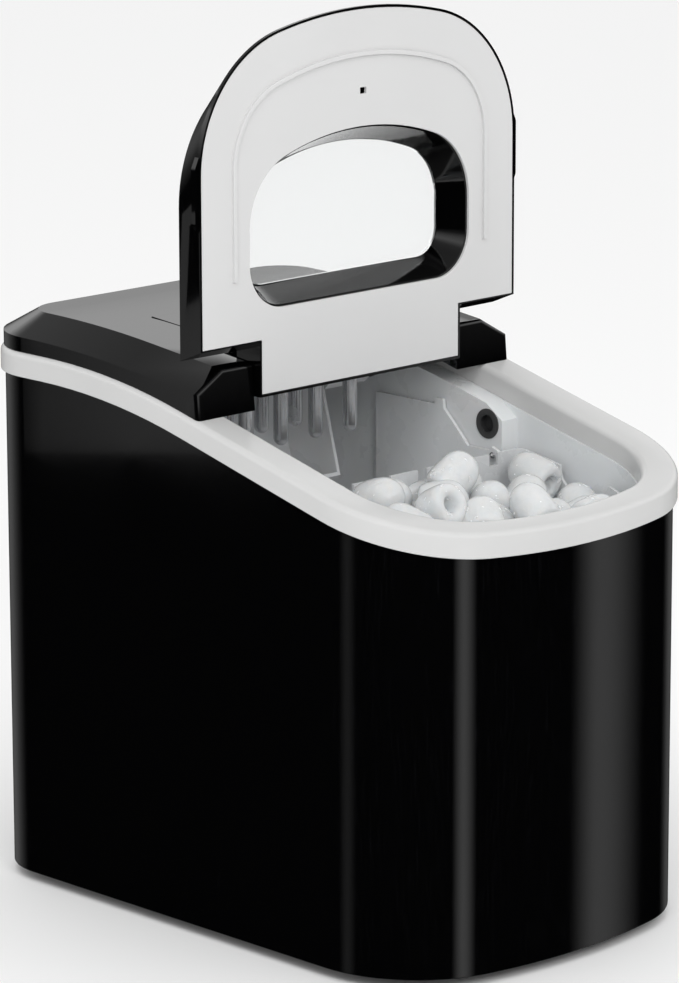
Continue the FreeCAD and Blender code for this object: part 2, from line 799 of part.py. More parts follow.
def panel_rod(name, radius, height, z_low, x, y):
    bar = doc.addObject("Part::Cylinder", name)
    bar.setExpression("Radius", ex(radius))
    bar.setExpression("Height", ex(height))
    return panel_frame(bar, x, y, z_low)


BUTTON_SPOTS = {"power": (-34, 0), "select": (34, 0)}
LAMP_SPOTS = [(-16, 6), (-8, 6), (0, 6), (8, 6), (16, 6)]


def rear_cover():
    """Gloss cover over the rear, with the two hinge ears that flank the lid's tongue."""
    outer = cover_block("CoverOuter", "0", "0")
    inner = cover_block("CoverInner", "cover_wall", "cover_wall")
    cut_below_rim_line(outer, "CoverUnderside", "rim_height")
    space = [
        rod("TongueSpace", "x", "20.5", "2 * ear_half", "-ear_half", "hinge_place", "hinge_level"),
        block("TongueFront", "-ear_half", "ear_half", "-cover_front - 5", "hinge_place",
              "250", "400"),
    ]
    wall = [
        rod("TongueWall", "x", "20.5 + cover_wall", "2 * (ear_half + cover_wall)",
            "-ear_half - cover_wall", "hinge_place", "hinge_level"),
        block("TongueWallFront", "-ear_half - cover_wall", "ear_half + cover_wall",
              "-cover_front - 6", "hinge_place", "240", "410"),
    ]
    hollow = without("CoverHollow", inner, [*wall, leaning_slab("EarFront", value("cover_wall"))])
    lean = leaning_slab("EarLean", 0)
    pins = rod("EarPinHole", "x", "pin_radius", "2 * (ear_half + 8)", "-ear_half - 8",
               "hinge_place", "hinge_level")
    tube_space = block("TubeSpace", "-ear_half", "ear_half", "hinge_place", "40", "270",
                       "tube_level + 8")
    seat = panel_block("PanelSeat", "124 + 2 * gap", "44 + 2 * gap", "10", -1.6 - 0.1)
    window = panel_block("PanelOpening", "112", "34", "20", -12)
    cut = without("CoverCut", outer, [hollow, *space, tube_space, lean, pins, seat, window])
    rounded = doc.addObject("Part::Fillet", "CoverRounded")
    rounded.Base = cut
    doc.recompute()
    rounded.Edges = [(number, EAR_ROUND, EAR_ROUND) for number in ear_edges(cut.Shape)]
    return keep(rounded, "rear_cover")


def ear_edges(shape):
    """Numbers of the edges round the ears' front faces, all but the lowest and the inner ones."""
    tilt = math.tan(math.radians(EAR_LEAN))
    numbers = []
    for number, edge in enumerate(shape.Edges, start=1):
        low, high = edge.ParameterRange
        points = [edge.valueAt(low + (high - low) * part) for part in (0, 0.5, 1)]
        ahead = all(abs(p.y - EAR_FRONT - (p.z - EAR_LEVEL) * tilt) < 0.05 for p in points)
        outer = all(abs(p.x) > value("cover_half") - 0.01 for p in points)
        upper = all(p.z > 300 for p in points)
        if ahead and (outer or upper):
            numbers.append(number)
    return numbers


def control_panel():
    """Smooth overlay on the cover, with holes for the two buttons and five lamps."""
    plate = panel_block("PanelPlateTop", "124", "44", "1.6", -1.6)
    holes = [panel_rod(f"PanelButton{n}", "button_radius + gap", "6", -3, x, y)
             for n, (x, y) in BUTTON_SPOTS.items()]
    holes += [panel_rod(f"PanelLamp{k}", "1.6", "6", -3, x, y)
              for k, (x, y) in enumerate(LAMP_SPOTS)]
    return keep(without("ControlPanel", plate, holes), "control_panel")


def push_button(which):
    """Round key with a domed top and a stem that reaches down to its switch."""
    x, y = BUTTON_SPOTS[which]
    key = panel_rod(f"{which}Key", "button_radius", "5.4", -4.4, x, y)
    collar = panel_rod(f"{which}Collar", "button_radius + 1.5", "1.2", -4.4, x, y)
    stem = panel_rod(f"{which}Stem", "2", "2.6", -7.0, x, y)
    whole = joined(f"{which}Button", [key, collar, stem])
    rounded = doc.addObject("Part::Fillet", f"{which}Rounded")
    rounded.Base = whole
    doc.recompute()
    top = max(range(len(whole.Shape.Edges)), key=lambda k: whole.Shape.Edges[k].BoundBox.Center.z)
    rounded.Edges = [(top + 1, 0.8, 0.8)]
    return keep(rounded, f"{which}_button")


def indicator_lenses():
    lamps = [panel_rod(f"Lens{k}", "1.6", "7", -7, x, y) for k, (x, y) in enumerate(LAMP_SPOTS)]
    return keep(group("IndicatorLenses", lamps), "indicator_lenses")


def control_board():
    """Circuit board under the panel, with its two key switches, lamps and relay."""
    board = panel_block("Board", "104", "31", "1.6", -12.8)
    parts = [board, panel_block("BoardRelay", "14", "11", "8", -20.7, 40, -4),
             panel_block("BoardChip", "16", "10", "2.2", -14.9, -4, -6)]
    parts += [panel_block(f"BoardSwitch{n}", "6", "6", "3.2", -11.3, x, y)
              for n, (x, y) in BUTTON_SPOTS.items()]
    parts += [panel_rod(f"BoardLamp{k}", "1.5", "4", -11.3, x, y)
              for k, (x, y) in enumerate(LAMP_SPOTS)]
    return keep(joined("ControlBoard", parts), "control_board")


# ---- lid ----

def crown_arc(sketch, low_y, side_y, middle_y, across):
    """A region of the XY plane from low_y up to an arc through side_y and middle_y."""
    half = value(across)
    edge, middle = value(side_y), value(middle_y)
    radius = (half ** 2 + (middle - edge) ** 2) / (2 * (middle - edge))
    centre = Vector(0, middle - radius, 0)
    turn = math.asin(half / radius)
    ring = Part.Circle(centre, Vector(0, 0, 1), radius)
    arc = sketch.addGeometry(
        Part.ArcOfCircle(ring, math.pi / 2 - turn, math.pi / 2 + turn), False)
    corners = [(f"-{across}", side_y, None), (f"-{across}", low_y, None),
               (across, low_y, None), (across, side_y, None)]
    first, last = add_chain(sketch, corners)
    sketch.addConstraint(Sketcher.Constraint("Coincident", arc, 2, first, 1))
    sketch.addConstraint(Sketcher.Constraint("Coincident", last, 2, arc, 1))
    bulge = f"({middle_y} - ({side_y}))"
    text = f"({across}^2 + {bulge}^2) / (2 * {bulge})"
    datum(sketch, Sketcher.Constraint("Radius", arc, value(text)), text)


LID_BACK = "lid_depth - lid_face"
LID_SIDE = "lid_depth - lid_face - lid_crown"


def crowned_block(name, outline, grow, drop, front):
    """The lid's form: a crowned plate from the plane y = front back to the lid's outer face."""
    body = new_body(name)
    crown = new_sketch(body, name + "Crown", "XY_Plane", "290")
    crown_arc(crown, front, f"{LID_SIDE} - ({drop})", f"{LID_BACK} - ({drop})", "140")
    pad(body, crown, "230")
    frame = new_sketch(body, name + "Frame", "XZ_Plane")
    rectangle(frame, "-150", "280", "150", "560")
    outline(frame, grow)
    pocket(body, frame)
    return body


def leaning_block(name, grow):
    """The lid's arch carried back on a slant, so that the lid's nose slopes as the cover does."""
    body = new_body(name)
    rise = "(10 + liner_thick) * lid_lean"
    face = new_sketch(body, name + "Face", "XZ_Plane", "lid_face + 10")
    arch(face, "lid_half", f"(lid_top + {rise})", f"(lid_spring + {rise})", "lid_corner",
         [("lid_half", "220", None)], grow)
    slant = body.newObject("PartDesign::Pad", name + "Slant")
    slant.Profile = face
    slant.UseCustomVector = True
    slant.Direction = Vector(0, 1, -value("lid_lean"))
    slant.AlongSketchNormal = False
    slant.setExpression("Length", ex("45 * sqrt(1 + lid_lean^2)"))
    doc.recompute()
    return body


def both(name, first, second):
    """What two solids share."""
    shared = doc.addObject("Part::Common", name)
    shared.Base, shared.Tool = first, second
    return shared


def window_tunnel(name, grow):
    """A tapered plug through the lid, the window's outline at the liner and smaller behind."""
    body = new_body(name)
    over = 6
    slope = "window_taper / lid_depth"
    sections = []
    for end, place_y, text in (("Face", f"lid_face + {over}", f"{grow} + {over} * {slope}"),
                               ("Back", f"-({LID_BACK}) - {over}",
                                f"{grow} - window_taper - {over} * {slope}")):
        sketch = new_sketch(body, name + end, "XZ_Plane", place_y)
        window_outline(sketch, f"({text})")
        sections.append(sketch)
    doc.recompute()
    loft = body.newObject("PartDesign::AdditiveLoft", name + "Loft")
    loft.Profile = sections[0]
    loft.Sections = sections[1:]
    loft.Ruled = True
    doc.recompute()
    return body


def finger_lips():
    """Small rounded lips on the lid's two sides, to lift it by."""
    lips = []
    for side in (-1, 1):
        body = new_body(f"LidLip{side + 1}")
        plan = new_sketch(body, f"LidLipPlan{side + 1}", "XZ_Plane", "lid_face - 1")
        root, tip = f"{side} * (lid_half + lid_edge - 0.6)", f"{side} * (lid_half + lid_edge + 2.2)"
        polygon(plan, [(root, "grip_level - 21", None), (tip, "grip_level - 15", "4"),
                       (tip, "grip_level + 15", "4"), (root, "grip_level + 21", None)])
        pad(body, plan, "3", back=True)
        lips.append(body)
    return lips


def lid_shell():
    """Gloss outer shell of the lid, with a deep frame round the window."""
    outer = both("LidForm", crowned_block("LidOuter", low_lid_outline, "lid_edge", "0",
                                          "-lid_face"), leaning_block("LidSlant", "lid_edge"))
    inner = both("LidSpace", crowned_block("LidInner", lid_outline, "lid_edge - lid_wall",
                                           "lid_wall", "-lid_face - 5"),
                 leaning_block("LidSlantInner", "lid_edge - lid_wall"))
    front = block("LinerSpace", "-150", "150", "-lid_face - 20", "liner_thick - lid_face",
                  "240", "560")
    core = without("LidCore", window_tunnel("LidTunnelWall", "3"), [front])
    opening = window_tunnel("LidTunnel", "0")
    seat = crowned_block("LensSeat", window_outline, "1.2 - window_taper", "-5", "-lid_face")
    floor = crowned_block("LensFloor", window_outline, "5", "lens_thick + 0.2", "-lid_face - 5")
    hollow = without("LidHollow", inner, [core])
    rebate = without("LensRebate", seat, [floor])
    wedge = doc.addObject("Part::Box", "ShoulderWedge")
    wedge.Length, wedge.Width, wedge.Height = 300, 60, 40
    wedge.Placement = Placement(Vector(), Rotation(Vector(1, 0, 0), -22.3))
    place(wedge, "-150", "-44.7", "lid_shoulder - 30.1")
    tongue = block("TongueKeep", "-tongue_half - lid_edge", "tongue_half + lid_edge",
                   "-60", "60", "240", "420")
    slope = without("ShoulderSlope", wedge, [tongue])
    pins = rod("LidPinHole", "x", "pin_radius + 2", "2 * (tongue_half + lid_edge + 1)",
               "-tongue_half - lid_edge - 1", "hinge_place", "hinge_level")
    shell = without("LidShell", joined("LidFormLips", [outer, *finger_lips()]),
                    [hollow, opening, rebate, slope, pins])
    return keep(shell, "lid_shell")


def ridge_outline(sketch, grow, bottom):
    arch(sketch, "ridge_half", "ridge_top", "ridge_spring", "ridge_corner",
         [("ridge_half", bottom, None)], grow)


def lid_liner():
    """White inner plate of the lid, with a raised rib round the window."""
    body = new_body("LidLiner")
    plate = new_sketch(body, "LinerPlate", "XZ_Plane", "lid_face")
    lid_outline(plate, "lid_edge - lid_wall - gap")
    pad(body, plate, "liner_thick", back=True)
    window = new_sketch(body, "LinerWindow", "XZ_Plane", "lid_face + 5")
    window_outline(window)
    pocket(body, window, "20")
    slot = new_sketch(body, "LinerSlot", "XZ_Plane", "lid_face + 5")
    rectangle(slot, "-1", "452", "3.7", "455.5")
    pocket(body, slot, "20")
    return keep(joined("LinerWhole", [body, lid_rib()]), "lid_liner")


def lid_rib():
    """Raised rib on the liner, which drops inside the rim when the lid is shut."""
    body = new_body("LidRib")
    outside = new_sketch(body, "RibOutside", "XZ_Plane", "lid_face")
    ridge_outline(outside, "1.2", "362")
    pad(body, outside, "1.8")
    inside = new_sketch(body, "RibInside", "XZ_Plane")
    ridge_outline(inside, "-1.2", "350")
    pocket(body, inside)
    return body


def lid_window():
    """Clear curved window, set in a rebate in the shell's outer face."""
    lens = crowned_block("Lens", window_outline, "1.2 - window_taper - gap / 2", "0", "-lid_face")
    under = crowned_block("LensUnder", window_outline, "5", "lens_thick", "-lid_face - 5")
    return keep(without("LidWindow", lens, [under]), "lid_window")


def hinge_pins():
    pins = []
    for k, start in enumerate(("-tongue_half - 12", "tongue_half - 3")):
        pins.append(rod(f"HingePin{k}", "x", "pin_radius", "15", start,
                        "hinge_place", "hinge_level"))
    return keep(group("HingePins", pins), "hinge_pins")


def hinge_bushes():
    """Plastic bushes in the ends of the lid's tongue, a running fit on the pins."""
    bushes = []
    for k, start in enumerate(("-tongue_half - lid_edge", "tongue_half - 4 + lid_edge")):
        body = rod(f"BushBody{k}", "x", "pin_radius + 2", "4", start,
                   "hinge_place", "hinge_level")
        bore = rod(f"BushBore{k}", "x", "pin_radius + 0.08", "6", f"{start} - 1",
                   "hinge_place", "hinge_level")
        bushes.append(without(f"Bush{k}", body, [bore]))
    return keep(group("HingeBushes", bushes), "hinge_bushes")


# ---- basket ----

def basket_outline(sketch, grow="0"):
    arch(sketch, "basket_half", "-basket_front", "-nose_spring", "basket_corner",
         [("basket_half", "-basket_rear", "8")], grow)


def ice_basket():
    """Lift-out basket: drain slots in its floor, notches at the rear and a finger gap each side."""
    body = new_body("IceBasket")
    outside = new_sketch(body, "BasketOutside", "XY_Plane", "basket_bottom")
    basket_outline(outside)
    pad(body, outside, "basket_top - basket_bottom")
    inside = new_sketch(body, "BasketInside", "XY_Plane", "basket_bottom + basket_wall")
    basket_outline(inside, "-basket_wall")
    pocket(body, inside, "200", back=True)
    brim = new_sketch(body, "BasketBrim", "YZ_Plane")
    polygon(brim, [("-basket_rear - 4", "basket_top + 5", None), ("-basket_rear - 4", "basket_top", None),
                   ("-basket_front - 5", "basket_top - 19", None),
                   ("-basket_front - 5", "basket_top + 5", None)])
    pocket(body, brim)
    finger = new_sketch(body, "BasketFinger", "YZ_Plane")
    polygon(finger, [("-113", "basket_top + 10", None), ("-113", "230", "10"),
                     ("-75", "230", "10"), ("-75", "basket_top + 10", None)])
    pocket(body, finger)
    slot = new_sketch(body, "BasketSlot", "XY_Plane")
    rectangle(slot, "-62", "-138", "-57", "-62")
    cut = pocket(body, slot)
    rows = body.newObject("PartDesign::LinearPattern", "BasketSlots")
    rows.Originals = [cut]
    rows.Direction = (slot, ["H_Axis"])
    rows.Length = 119
    rows.Occurrences = 8
    body.Tip = rows
    doc.recompute()
    notch = new_sketch(body, "BasketNotch", "XZ_Plane", "basket_rear + 3")
    rectangle(notch, "-73.5", "basket_top - 7", "-66.5", "basket_top + 4")
    gap = pocket(body, notch, "10")
    notches = body.newObject("PartDesign::LinearPattern", "BasketNotches")
    notches.Originals = [gap]
    notches.Direction = (notch, ["H_Axis"])
    notches.Length = 140
    notches.Occurrences = 6
    body.Tip = notches
    doc.recompute()
    return keep(body, "ice_basket")


# ---- freezing group ----

def freezing_fingers():
    """Plated fingers with rounded tips that hang from the evaporator tube in two rows."""
    spots = [(x, "front_row") for x in (-53, -26.5, 0, 26.5)]
    spots += [(x, "rear_row") for x in (-66, -39.7, -13, 13)]
    fingers = []
    for k, (x, y) in enumerate(spots):
        shank = rod(f"Finger{k}", "z", "finger_radius",
                    "tube_level - 5 - finger_tip - finger_radius", x, y,
                    "finger_tip + finger_radius")
        tip = doc.addObject("Part::Sphere", f"FingerTip{k}")
        tip.setExpression("Radius", ex("finger_radius"))
        place(tip, x, y, "finger_tip + finger_radius")
        fingers.append(joined(f"FingerWhole{k}", [shank, tip]))
    return keep(group("FreezingFingers", fingers), "freezing_fingers")


def evaporator_tube():
    """Flattened loop of tube over the fingers, with its two ends led out to the rear."""
    level = value("tube_level")
    front, rear = value("front_row"), value("rear_row")
    points = [Vector(38, 119, level), Vector(38, front, level), Vector(-74, front, level),
              Vector(-74, rear, level), Vector(24, rear, level), Vector(24, 119, level)]
    return keep(tube("EvaporatorTube", points, 5.0, 9), "evaporator_tube")


def water_tray():
    """Trough that the fingers dip into, with the hub that turns it on its shaft.

    It is built in the freezing position and then tilted back to the position after harvest."""
    outside = new_body("TrayOutside")
    section = new_sketch(outside, "TraySection", "YZ_Plane", "-76")
    polygon(section, [("10", "286", None), ("10", "248", "20"), ("65", "248", "20"),
                      ("65", "286", None)])
    pad(outside, section, "118")
    inside = new_body("TrayInside")
    hollow = new_sketch(inside, "TrayHollow", "YZ_Plane", "-74")
    polygon(hollow, [("12", "300", None), ("12", "250", "18"), ("63", "250", "18"),
                     ("63", "300", None)])
    pad(inside, hollow, "114")
    trough = without("Trough", outside, [inside])
    hub = rod("TrayHub", "x", "11", "32.2", "43.8", "tray_pivot_place", "tray_pivot_level")
    neck = rod("TrayNeck", "x", "6.5", "6", "40", "tray_pivot_place", "tray_pivot_level")
    arms = [block(f"TrayArm{k}", x, f"{x} + 2", "55", "tray_pivot_place + 6", "266", "283.5")
            for k, x in enumerate((-76, 40))]
    eyes = [rod(f"TrayEye{k}", "x", "7", "3", x, "tray_pivot_place", "tray_pivot_level")
            for k, x in enumerate((-79, 76))]
    bore = rod("TrayBore", "x", "shaft_radius", "200", "-100", "tray_pivot_place",
               "tray_pivot_level")
    whole = without("TrayWhole", joined("TrayJoined", [trough, hub, neck, *arms, *eyes]), [bore])
    return keep(tilted("WaterTray", whole), "water_tray")


def tilted(name, thing):
    """A copy turned about the tray's shaft into its harvest position."""
    doc.recompute()
    centre = Vector(0, value("tray_pivot_place"), value("tray_pivot_level"))
    turn = Rotation(Vector(1, 0, 0), value("tray_tilt"))
    link = doc.addObject("Part::Compound", name)
    link.Links = [thing]
    link.Placement = Placement(centre - turn.multVec(centre), turn)
    return link


def tray_shaft():
    return keep(rod("TrayShaft", "x", "shaft_radius", "180", "-92", "tray_pivot_place",
                    "tray_pivot_level"), "tray_shaft")


def tray_bushes():
    """Flanged bushes that carry the tray's shaft in the chamber walls."""
    bushes = []
    for k, (wall, head) in enumerate((("-chamber_half - tank_wall", "-chamber_half"),
                                      ("chamber_half", "chamber_half - 1.2"))):
        sleeve = rod(f"TraySleeve{k}", "x", "shaft_radius + 3", "tank_wall", wall,
                     "tray_pivot_place", "tray_pivot_level")
        collar = rod(f"TrayCollar{k}", "x", "shaft_radius + 5", "1.2", head,
                     "tray_pivot_place", "tray_pivot_level")
        bore = rod(f"TrayBushBore{k}", "x", "shaft_radius + 0.08", "10", f"{wall} - 4",
                   "tray_pivot_place", "tray_pivot_level")
        bushes.append(without(f"TrayBush{k}", joined(f"TrayBushes{k}", [sleeve, collar]), [bore]))
    return keep(group("TrayBushes", bushes), "tray_bushes")


def tray_motor():
    """Flat geared motor outside the chamber wall, on the end of the tray's shaft."""
    can = rod("MotorCan", "x", "24", "20", "-112", "tray_pivot_place", "tray_pivot_level - 20")
    boss = rod("MotorBoss", "x", "7", "2", "-92", "tray_pivot_place", "tray_pivot_level")
    socket = rod("MotorSocket", "x", "shaft_radius + 0.08", "10", "-94.2", "tray_pivot_place",
                 "tray_pivot_level")
    return keep(without("TrayMotor", joined("MotorJoined", [can, boss]), [socket]), "tray_motor")


def ice_shovel():
    """Curved plate that lifts the fallen ice into the basket, between two end plates."""
    ends = []
    for k, x in enumerate(("3 - chamber_half", "chamber_half - 1")):
        body = new_body(f"ShovelEnd{k}")
        plate = new_sketch(body, f"ShovelEndPlate{k}", "YZ_Plane", x)
        polygon(plate, [("61", "265", None), ("14", "265", None), ("13.6", "268.6", "1"),
                        ("7.5", "268.6", "1"), ("6.7", "263.2", None), ("-3", "254", None),
                        ("-12", "244.8", None), ("-28.6", "244.8", None), ("-31", "247", None),
                        ("-36.5", "245", "2"), ("-36.5", "236", "3"), ("-10", "216", "20"),
                        ("10", "207", "20"), ("61", "207", "8")])
        pad(body, plate, "2", back=True)
        hole = new_sketch(body, f"ShovelEndHole{k}", "YZ_Plane", x)
        circle(hole, "shovel_pivot_place", "shovel_pivot_level", "1.5")
        pocket(body, hole)
        ends.append(body)
    body = new_body("ShovelPlate")
    curve = new_sketch(body, "ShovelCurve", "YZ_Plane", "3 - chamber_half - 1")
    polygon(curve, [("-30", "234.5", None), ("-9", "218.5", "18"), ("10", "209.5", "22"),
                    ("44", "209.5", None), ("44", "211.5", None), ("10.5", "211.5", "20"),
                    ("-8", "220.3", "16"), ("-28.8", "236.1", None)])
    pad(body, curve, "2 * (chamber_half - 2)", back=False)
    slots = [block(f"ShovelSlot{k}", -70 + 20 * k - 2, -70 + 20 * k + 2, "14", "38", "205", "215")
             for k in range(8)]
    grid = without("ShovelGrid", body, slots)
    return keep(joined("IceShovel", [grid, *ends]), "ice_shovel")


def shovel_pins():
    """Ball-headed steel pins that the shovel swings on, seated in the chamber walls."""
    pins = []
    for k, (side, start) in enumerate(((-1, "-chamber_half - 1.6"), (1, "chamber_half - 3.4"))):
        pin = rod(f"ShovelPin{k}", "x", "1.5", "5", start, "shovel_pivot_place",
                  "shovel_pivot_level")
        ball = doc.addObject("Part::Sphere", f"ShovelBall{k}")
        ball.Radius = 2
        ball.Placement = Placement(Vector(), Rotation(Vector(0, 0, 1), 90))
        place(ball, f"{side} * (chamber_half - 4.6)", "shovel_pivot_place", "shovel_pivot_level")
        pins.append(joined(f"ShovelPinWhole{k}", [pin, ball]))
    return keep(group("ShovelPins", pins), "shovel_pins")


def water_nozzle():
    """Small black elbow that pours water from the hose into the tray."""
    spout = rod("NozzleSpout", "z", "3.4", "11", "66", "rear_row", "289")
    collar = rod("NozzleCollar", "z", "5", "3", "66", "rear_row", "297")
    head = rod("NozzleHead", "x", "4", "12", "62", "rear_row", "303")
    bore = rod("NozzleBore", "z", "2", "14", "66", "rear_row", "288")
    inlet = rod("NozzleInlet", "x", "2", "12", "66", "rear_row", "303")
    whole = joined("NozzleJoined", [spout, collar, head])
    return keep(without("WaterNozzle", whole, [bore, inlet]), "water_nozzle")


def ice_sensors():
    """Infrared emitter and receiver that face each other above the basket."""
    pair = []
    places = (("-chamber_half - 10", "-chamber_half", "-chamber_half - 2.8"),
              ("chamber_half - 0.6", "chamber_half - 0.6", "chamber_half - 1.2"))
    for k, (barrel, lip, eye_start) in enumerate(places):
        body = rod(f"SensorBody{k}", "x", "6.5", "10.6", barrel, "-25", "259")
        flange = rod(f"SensorLip{k}", "x", "8.5", "0.6", lip, "-25", "259")
        eye = rod(f"SensorEye{k}", "x", "5", "4", eye_start, "-25", "259")
        pair.append(without(f"SensorOpen{k}", joined(f"Sensor{k}", [body, flange]), [eye]))
    return keep(group("IceSensors", pair), "ice_sensors")


# ---- water circuit ----

def water_pump():
    """Small pump beside the reservoir, with its inlet through the reservoir's rear wall."""
    body = rod("PumpBody", "z", "17", "40", "70", "22", "22")
    cap = rod("PumpCap", "z", "19", "4", "70", "22", "34")
    inlet = rod("PumpInlet", "y", "4.2", "26", "60", "-basin_rear + 1", "36")
    outlet = rod("PumpOutlet", "x", "4", "25", "70", "22", "54")
    base = block("PumpBase", "50", "90", "3", "41", "8.5", "22")
    return keep(joined("WaterPump", [body, cap, inlet, outlet, base]), "water_pump")


def pump_hose():
    """Clear hose from the pump, up beside the freezing chamber and over its wall."""
    row = value("rear_row")
    points = [Vector(95, 22, 54), Vector(106, 22, 54), Vector(106, 22, 90), Vector(92, row, 150),
              Vector(92, row, 303), Vector(74, row, 303)]
    return keep(tube("PumpHose", points, 4.0, 8, bore=2.6), "pump_hose")


def level_probe():
    """Float-free level sensor in the reservoir's rear wall."""
    stem = rod("ProbeStem", "y", "4", "14", "-50", "-basin_rear - 9", "120")
    nut = rod("ProbeNut", "y", "7", "4", "-50", "tank_wall - basin_rear", "120")
    return keep(joined("LevelProbe", [stem, nut]), "level_probe")


def drain_spout():
    """Outlet pipe from the reservoir to the right side of the casing."""
    pipe = rod("SpoutPipe", "x", "8", "casing_half - opening_half - 3.5",
               "opening_half - 1 + tank_wall", "-60", "36")
    bore = rod("SpoutBore", "x", "5.5", "60", "80", "-60", "36")
    return keep(without("DrainSpout", pipe, [bore]), "drain_spout")


def drain_plug():
    """Soft plug with a flat head, pulled straight out of the spout."""
    stem = rod("PlugStem", "x", "5.4", "14", "102.5", "-60", "36")
    head = rod("PlugHead", "x", "9.5", "3.5", "116.5", "-60", "36")
    tab = block("PlugTab", "119", "120.8", "-64", "-56", "31", "41")
    return keep(joined("DrainPlug", [stem, head, tab]), "drain_plug")


# ---- cooling group ----

COMPRESSOR_SPOT = ("-48", "100")
MOUNT_SPOTS = [(-96, 54), (2, 54), (-96, 146), (2, 146)]


def compressor():
    """Welded steel can with a domed top, on a pressed foot plate."""
    body = new_body("CompressorCan")
    half = new_sketch(body, "CanProfile", "XZ_Plane")
    polygon(half, [("0", "26", None), ("compressor_radius", "26", "14"),
                   ("compressor_radius", "158", "26"), ("0", "166", None)])
    revolve(body, half)
    body.setExpression("Placement.Base.x", COMPRESSOR_SPOT[0])
    body.setExpression("Placement.Base.y", COMPRESSOR_SPOT[1])
    seam = rod("CanSeam", "z", "compressor_radius + 2", "3", *COMPRESSOR_SPOT, "96")
    plate = block("CanPlate", "-105", "10", "46", "154", "20", "26")
    posts = [rod(f"CanPort{k}", "z", "3.2", "14", x, y, "158")
             for k, (x, y) in enumerate(((-30, 84), (-66, 116)))]
    return keep(joined("Compressor", [body, seam, plate, *posts]), "compressor")


def compressor_mounts():
    """Rubber grommets between the compressor's foot plate and the base."""
    mounts = []
    for k, (x, y) in enumerate(MOUNT_SPOTS):
        low = rod(f"MountLow{k}", "z", "7", "11.5", x, y, "foot_height + 2.5")
        mounts.append(low)
    return keep(group("CompressorMounts", mounts), "compressor_mounts")


def terminal_cover():
    """Cover over the compressor's terminals and its start relay."""
    box = block("TerminalBox", "2.5", "16", "83", "117", "60", "92")
    hollow = block("TerminalHollow", "2.4", "14", "85", "115", "62", "90")
    return keep(without("TerminalCover", box, [hollow]), "terminal_cover")


def start_relay():
    return keep(block("StartRelay", "3.5", "12", "89", "111", "66", "88"), "start_relay")


CONDENSER_LEVELS = (40, 60, 80, 100, 120)


def condenser_tube():
    """Serpentine tube that runs back and forth through the fins."""
    points = []
    for k, level in enumerate(CONDENSER_LEVELS):
        left, right = Vector(22, 150, level), Vector(106, 150, level)
        points += [left, right] if k % 2 == 0 else [right, left]
    points[-1] = Vector(108, 150, CONDENSER_LEVELS[-1])
    points += [Vector(108, 150, 141), Vector(104, 132, 141), Vector(104, 132, 150)]
    return keep(tube("CondenserTube", points, 3.2, 8), "condenser_tube")


def condenser_fins():
    """Stack of thin fins on the condenser tube."""
    holes = [rod(f"FinHole{k}", "x", "3.25", "90", "20", "150", level)
             for k, level in enumerate(CONDENSER_LEVELS)]
    fins = [block(f"Fin{k}", 34 + 3 * k, 34.8 + 3 * k, "136", "164", "31", "129")
            for k in range(21)]
    return keep(without("CondenserFins", group("FinStack", fins), holes), "condenser_fins")


SHROUD_LEFT = "fan_place - fan_radius - 2"
SHROUD_RIGHT = "fan_place + fan_radius + 2"
SHROUD_LOW = "fan_level - 1.5 * fan_radius"
SHROUD_HIGH = "fan_level + 1.5 * fan_radius"


def fan_shroud():
    """Duct with a round throat in front of the condenser, and the arms that hold the motor."""
    plate = block("ShroudPlate", SHROUD_LEFT, SHROUD_RIGHT, "119", "122", SHROUD_LOW, SHROUD_HIGH)
    outside = block("SkirtOut", SHROUD_LEFT, SHROUD_RIGHT, "122", "134", SHROUD_LOW, SHROUD_HIGH)
    inside = block("SkirtIn", f"{SHROUD_LEFT} + 2", f"{SHROUD_RIGHT} - 2", "121", "135",
                   f"{SHROUD_LOW} + 4", f"{SHROUD_HIGH} - 2")
    skirt = without("ShroudSkirt", outside, [inside])
    throat = rod("ShroudThroat", "y", "fan_radius", "8", "fan_place", "117", "fan_level")
    collar = rod("ShroudCollar", "y", "fan_radius + 2", "20", "fan_place", "102", "fan_level")
    bore = rod("CollarBore", "y", "fan_radius", "22", "fan_place", "101", "fan_level")
    feet = block("ShroudFoot", f"{SHROUD_LEFT} + 4", f"{SHROUD_RIGHT} - 4", "112", "134",
                 "foot_height + 2.5", SHROUD_LOW)
    ring = rod("MotorRing", "y", "motor_radius + 3", "4", "fan_place", "98", "fan_level")
    reach = "(fan_radius + 1)"
    arms = [block("ArmAcross", f"fan_place - {reach}", f"fan_place + {reach}", "98", "102",
                  "fan_level - 2.5", "fan_level + 2.5"),
            block("ArmUpright", "fan_place - 2.5", "fan_place + 2.5", "98", "102",
                  f"fan_level - {reach}", f"fan_level + {reach}")]
    seat = rod("RingBore", "y", "motor_radius + 0.2", "10", "fan_place", "96", "fan_level")
    space = without("CollarSpace", bore, [ring, *arms])
    whole = joined("ShroudJoined", [plate, skirt, collar, feet, ring, *arms])
    return keep(without("FanShroud", whole, [throat, space, seat]), "fan_shroud")


def fan_motor():
    can = rod("FanMotorCan", "y", "motor_radius", "22", "fan_place", "80", "fan_level")
    shaft = rod("FanMotorShaft", "y", "1.5", "13", "fan_place", "102", "fan_level")
    return keep(joined("FanMotor", [can, shaft]), "fan_motor")


BLADES = 5
BLADE_CHORD = 16
BLADE_THICK = 1.4
BLADE_PITCH = 26
BLADE_ROOT = 9.5


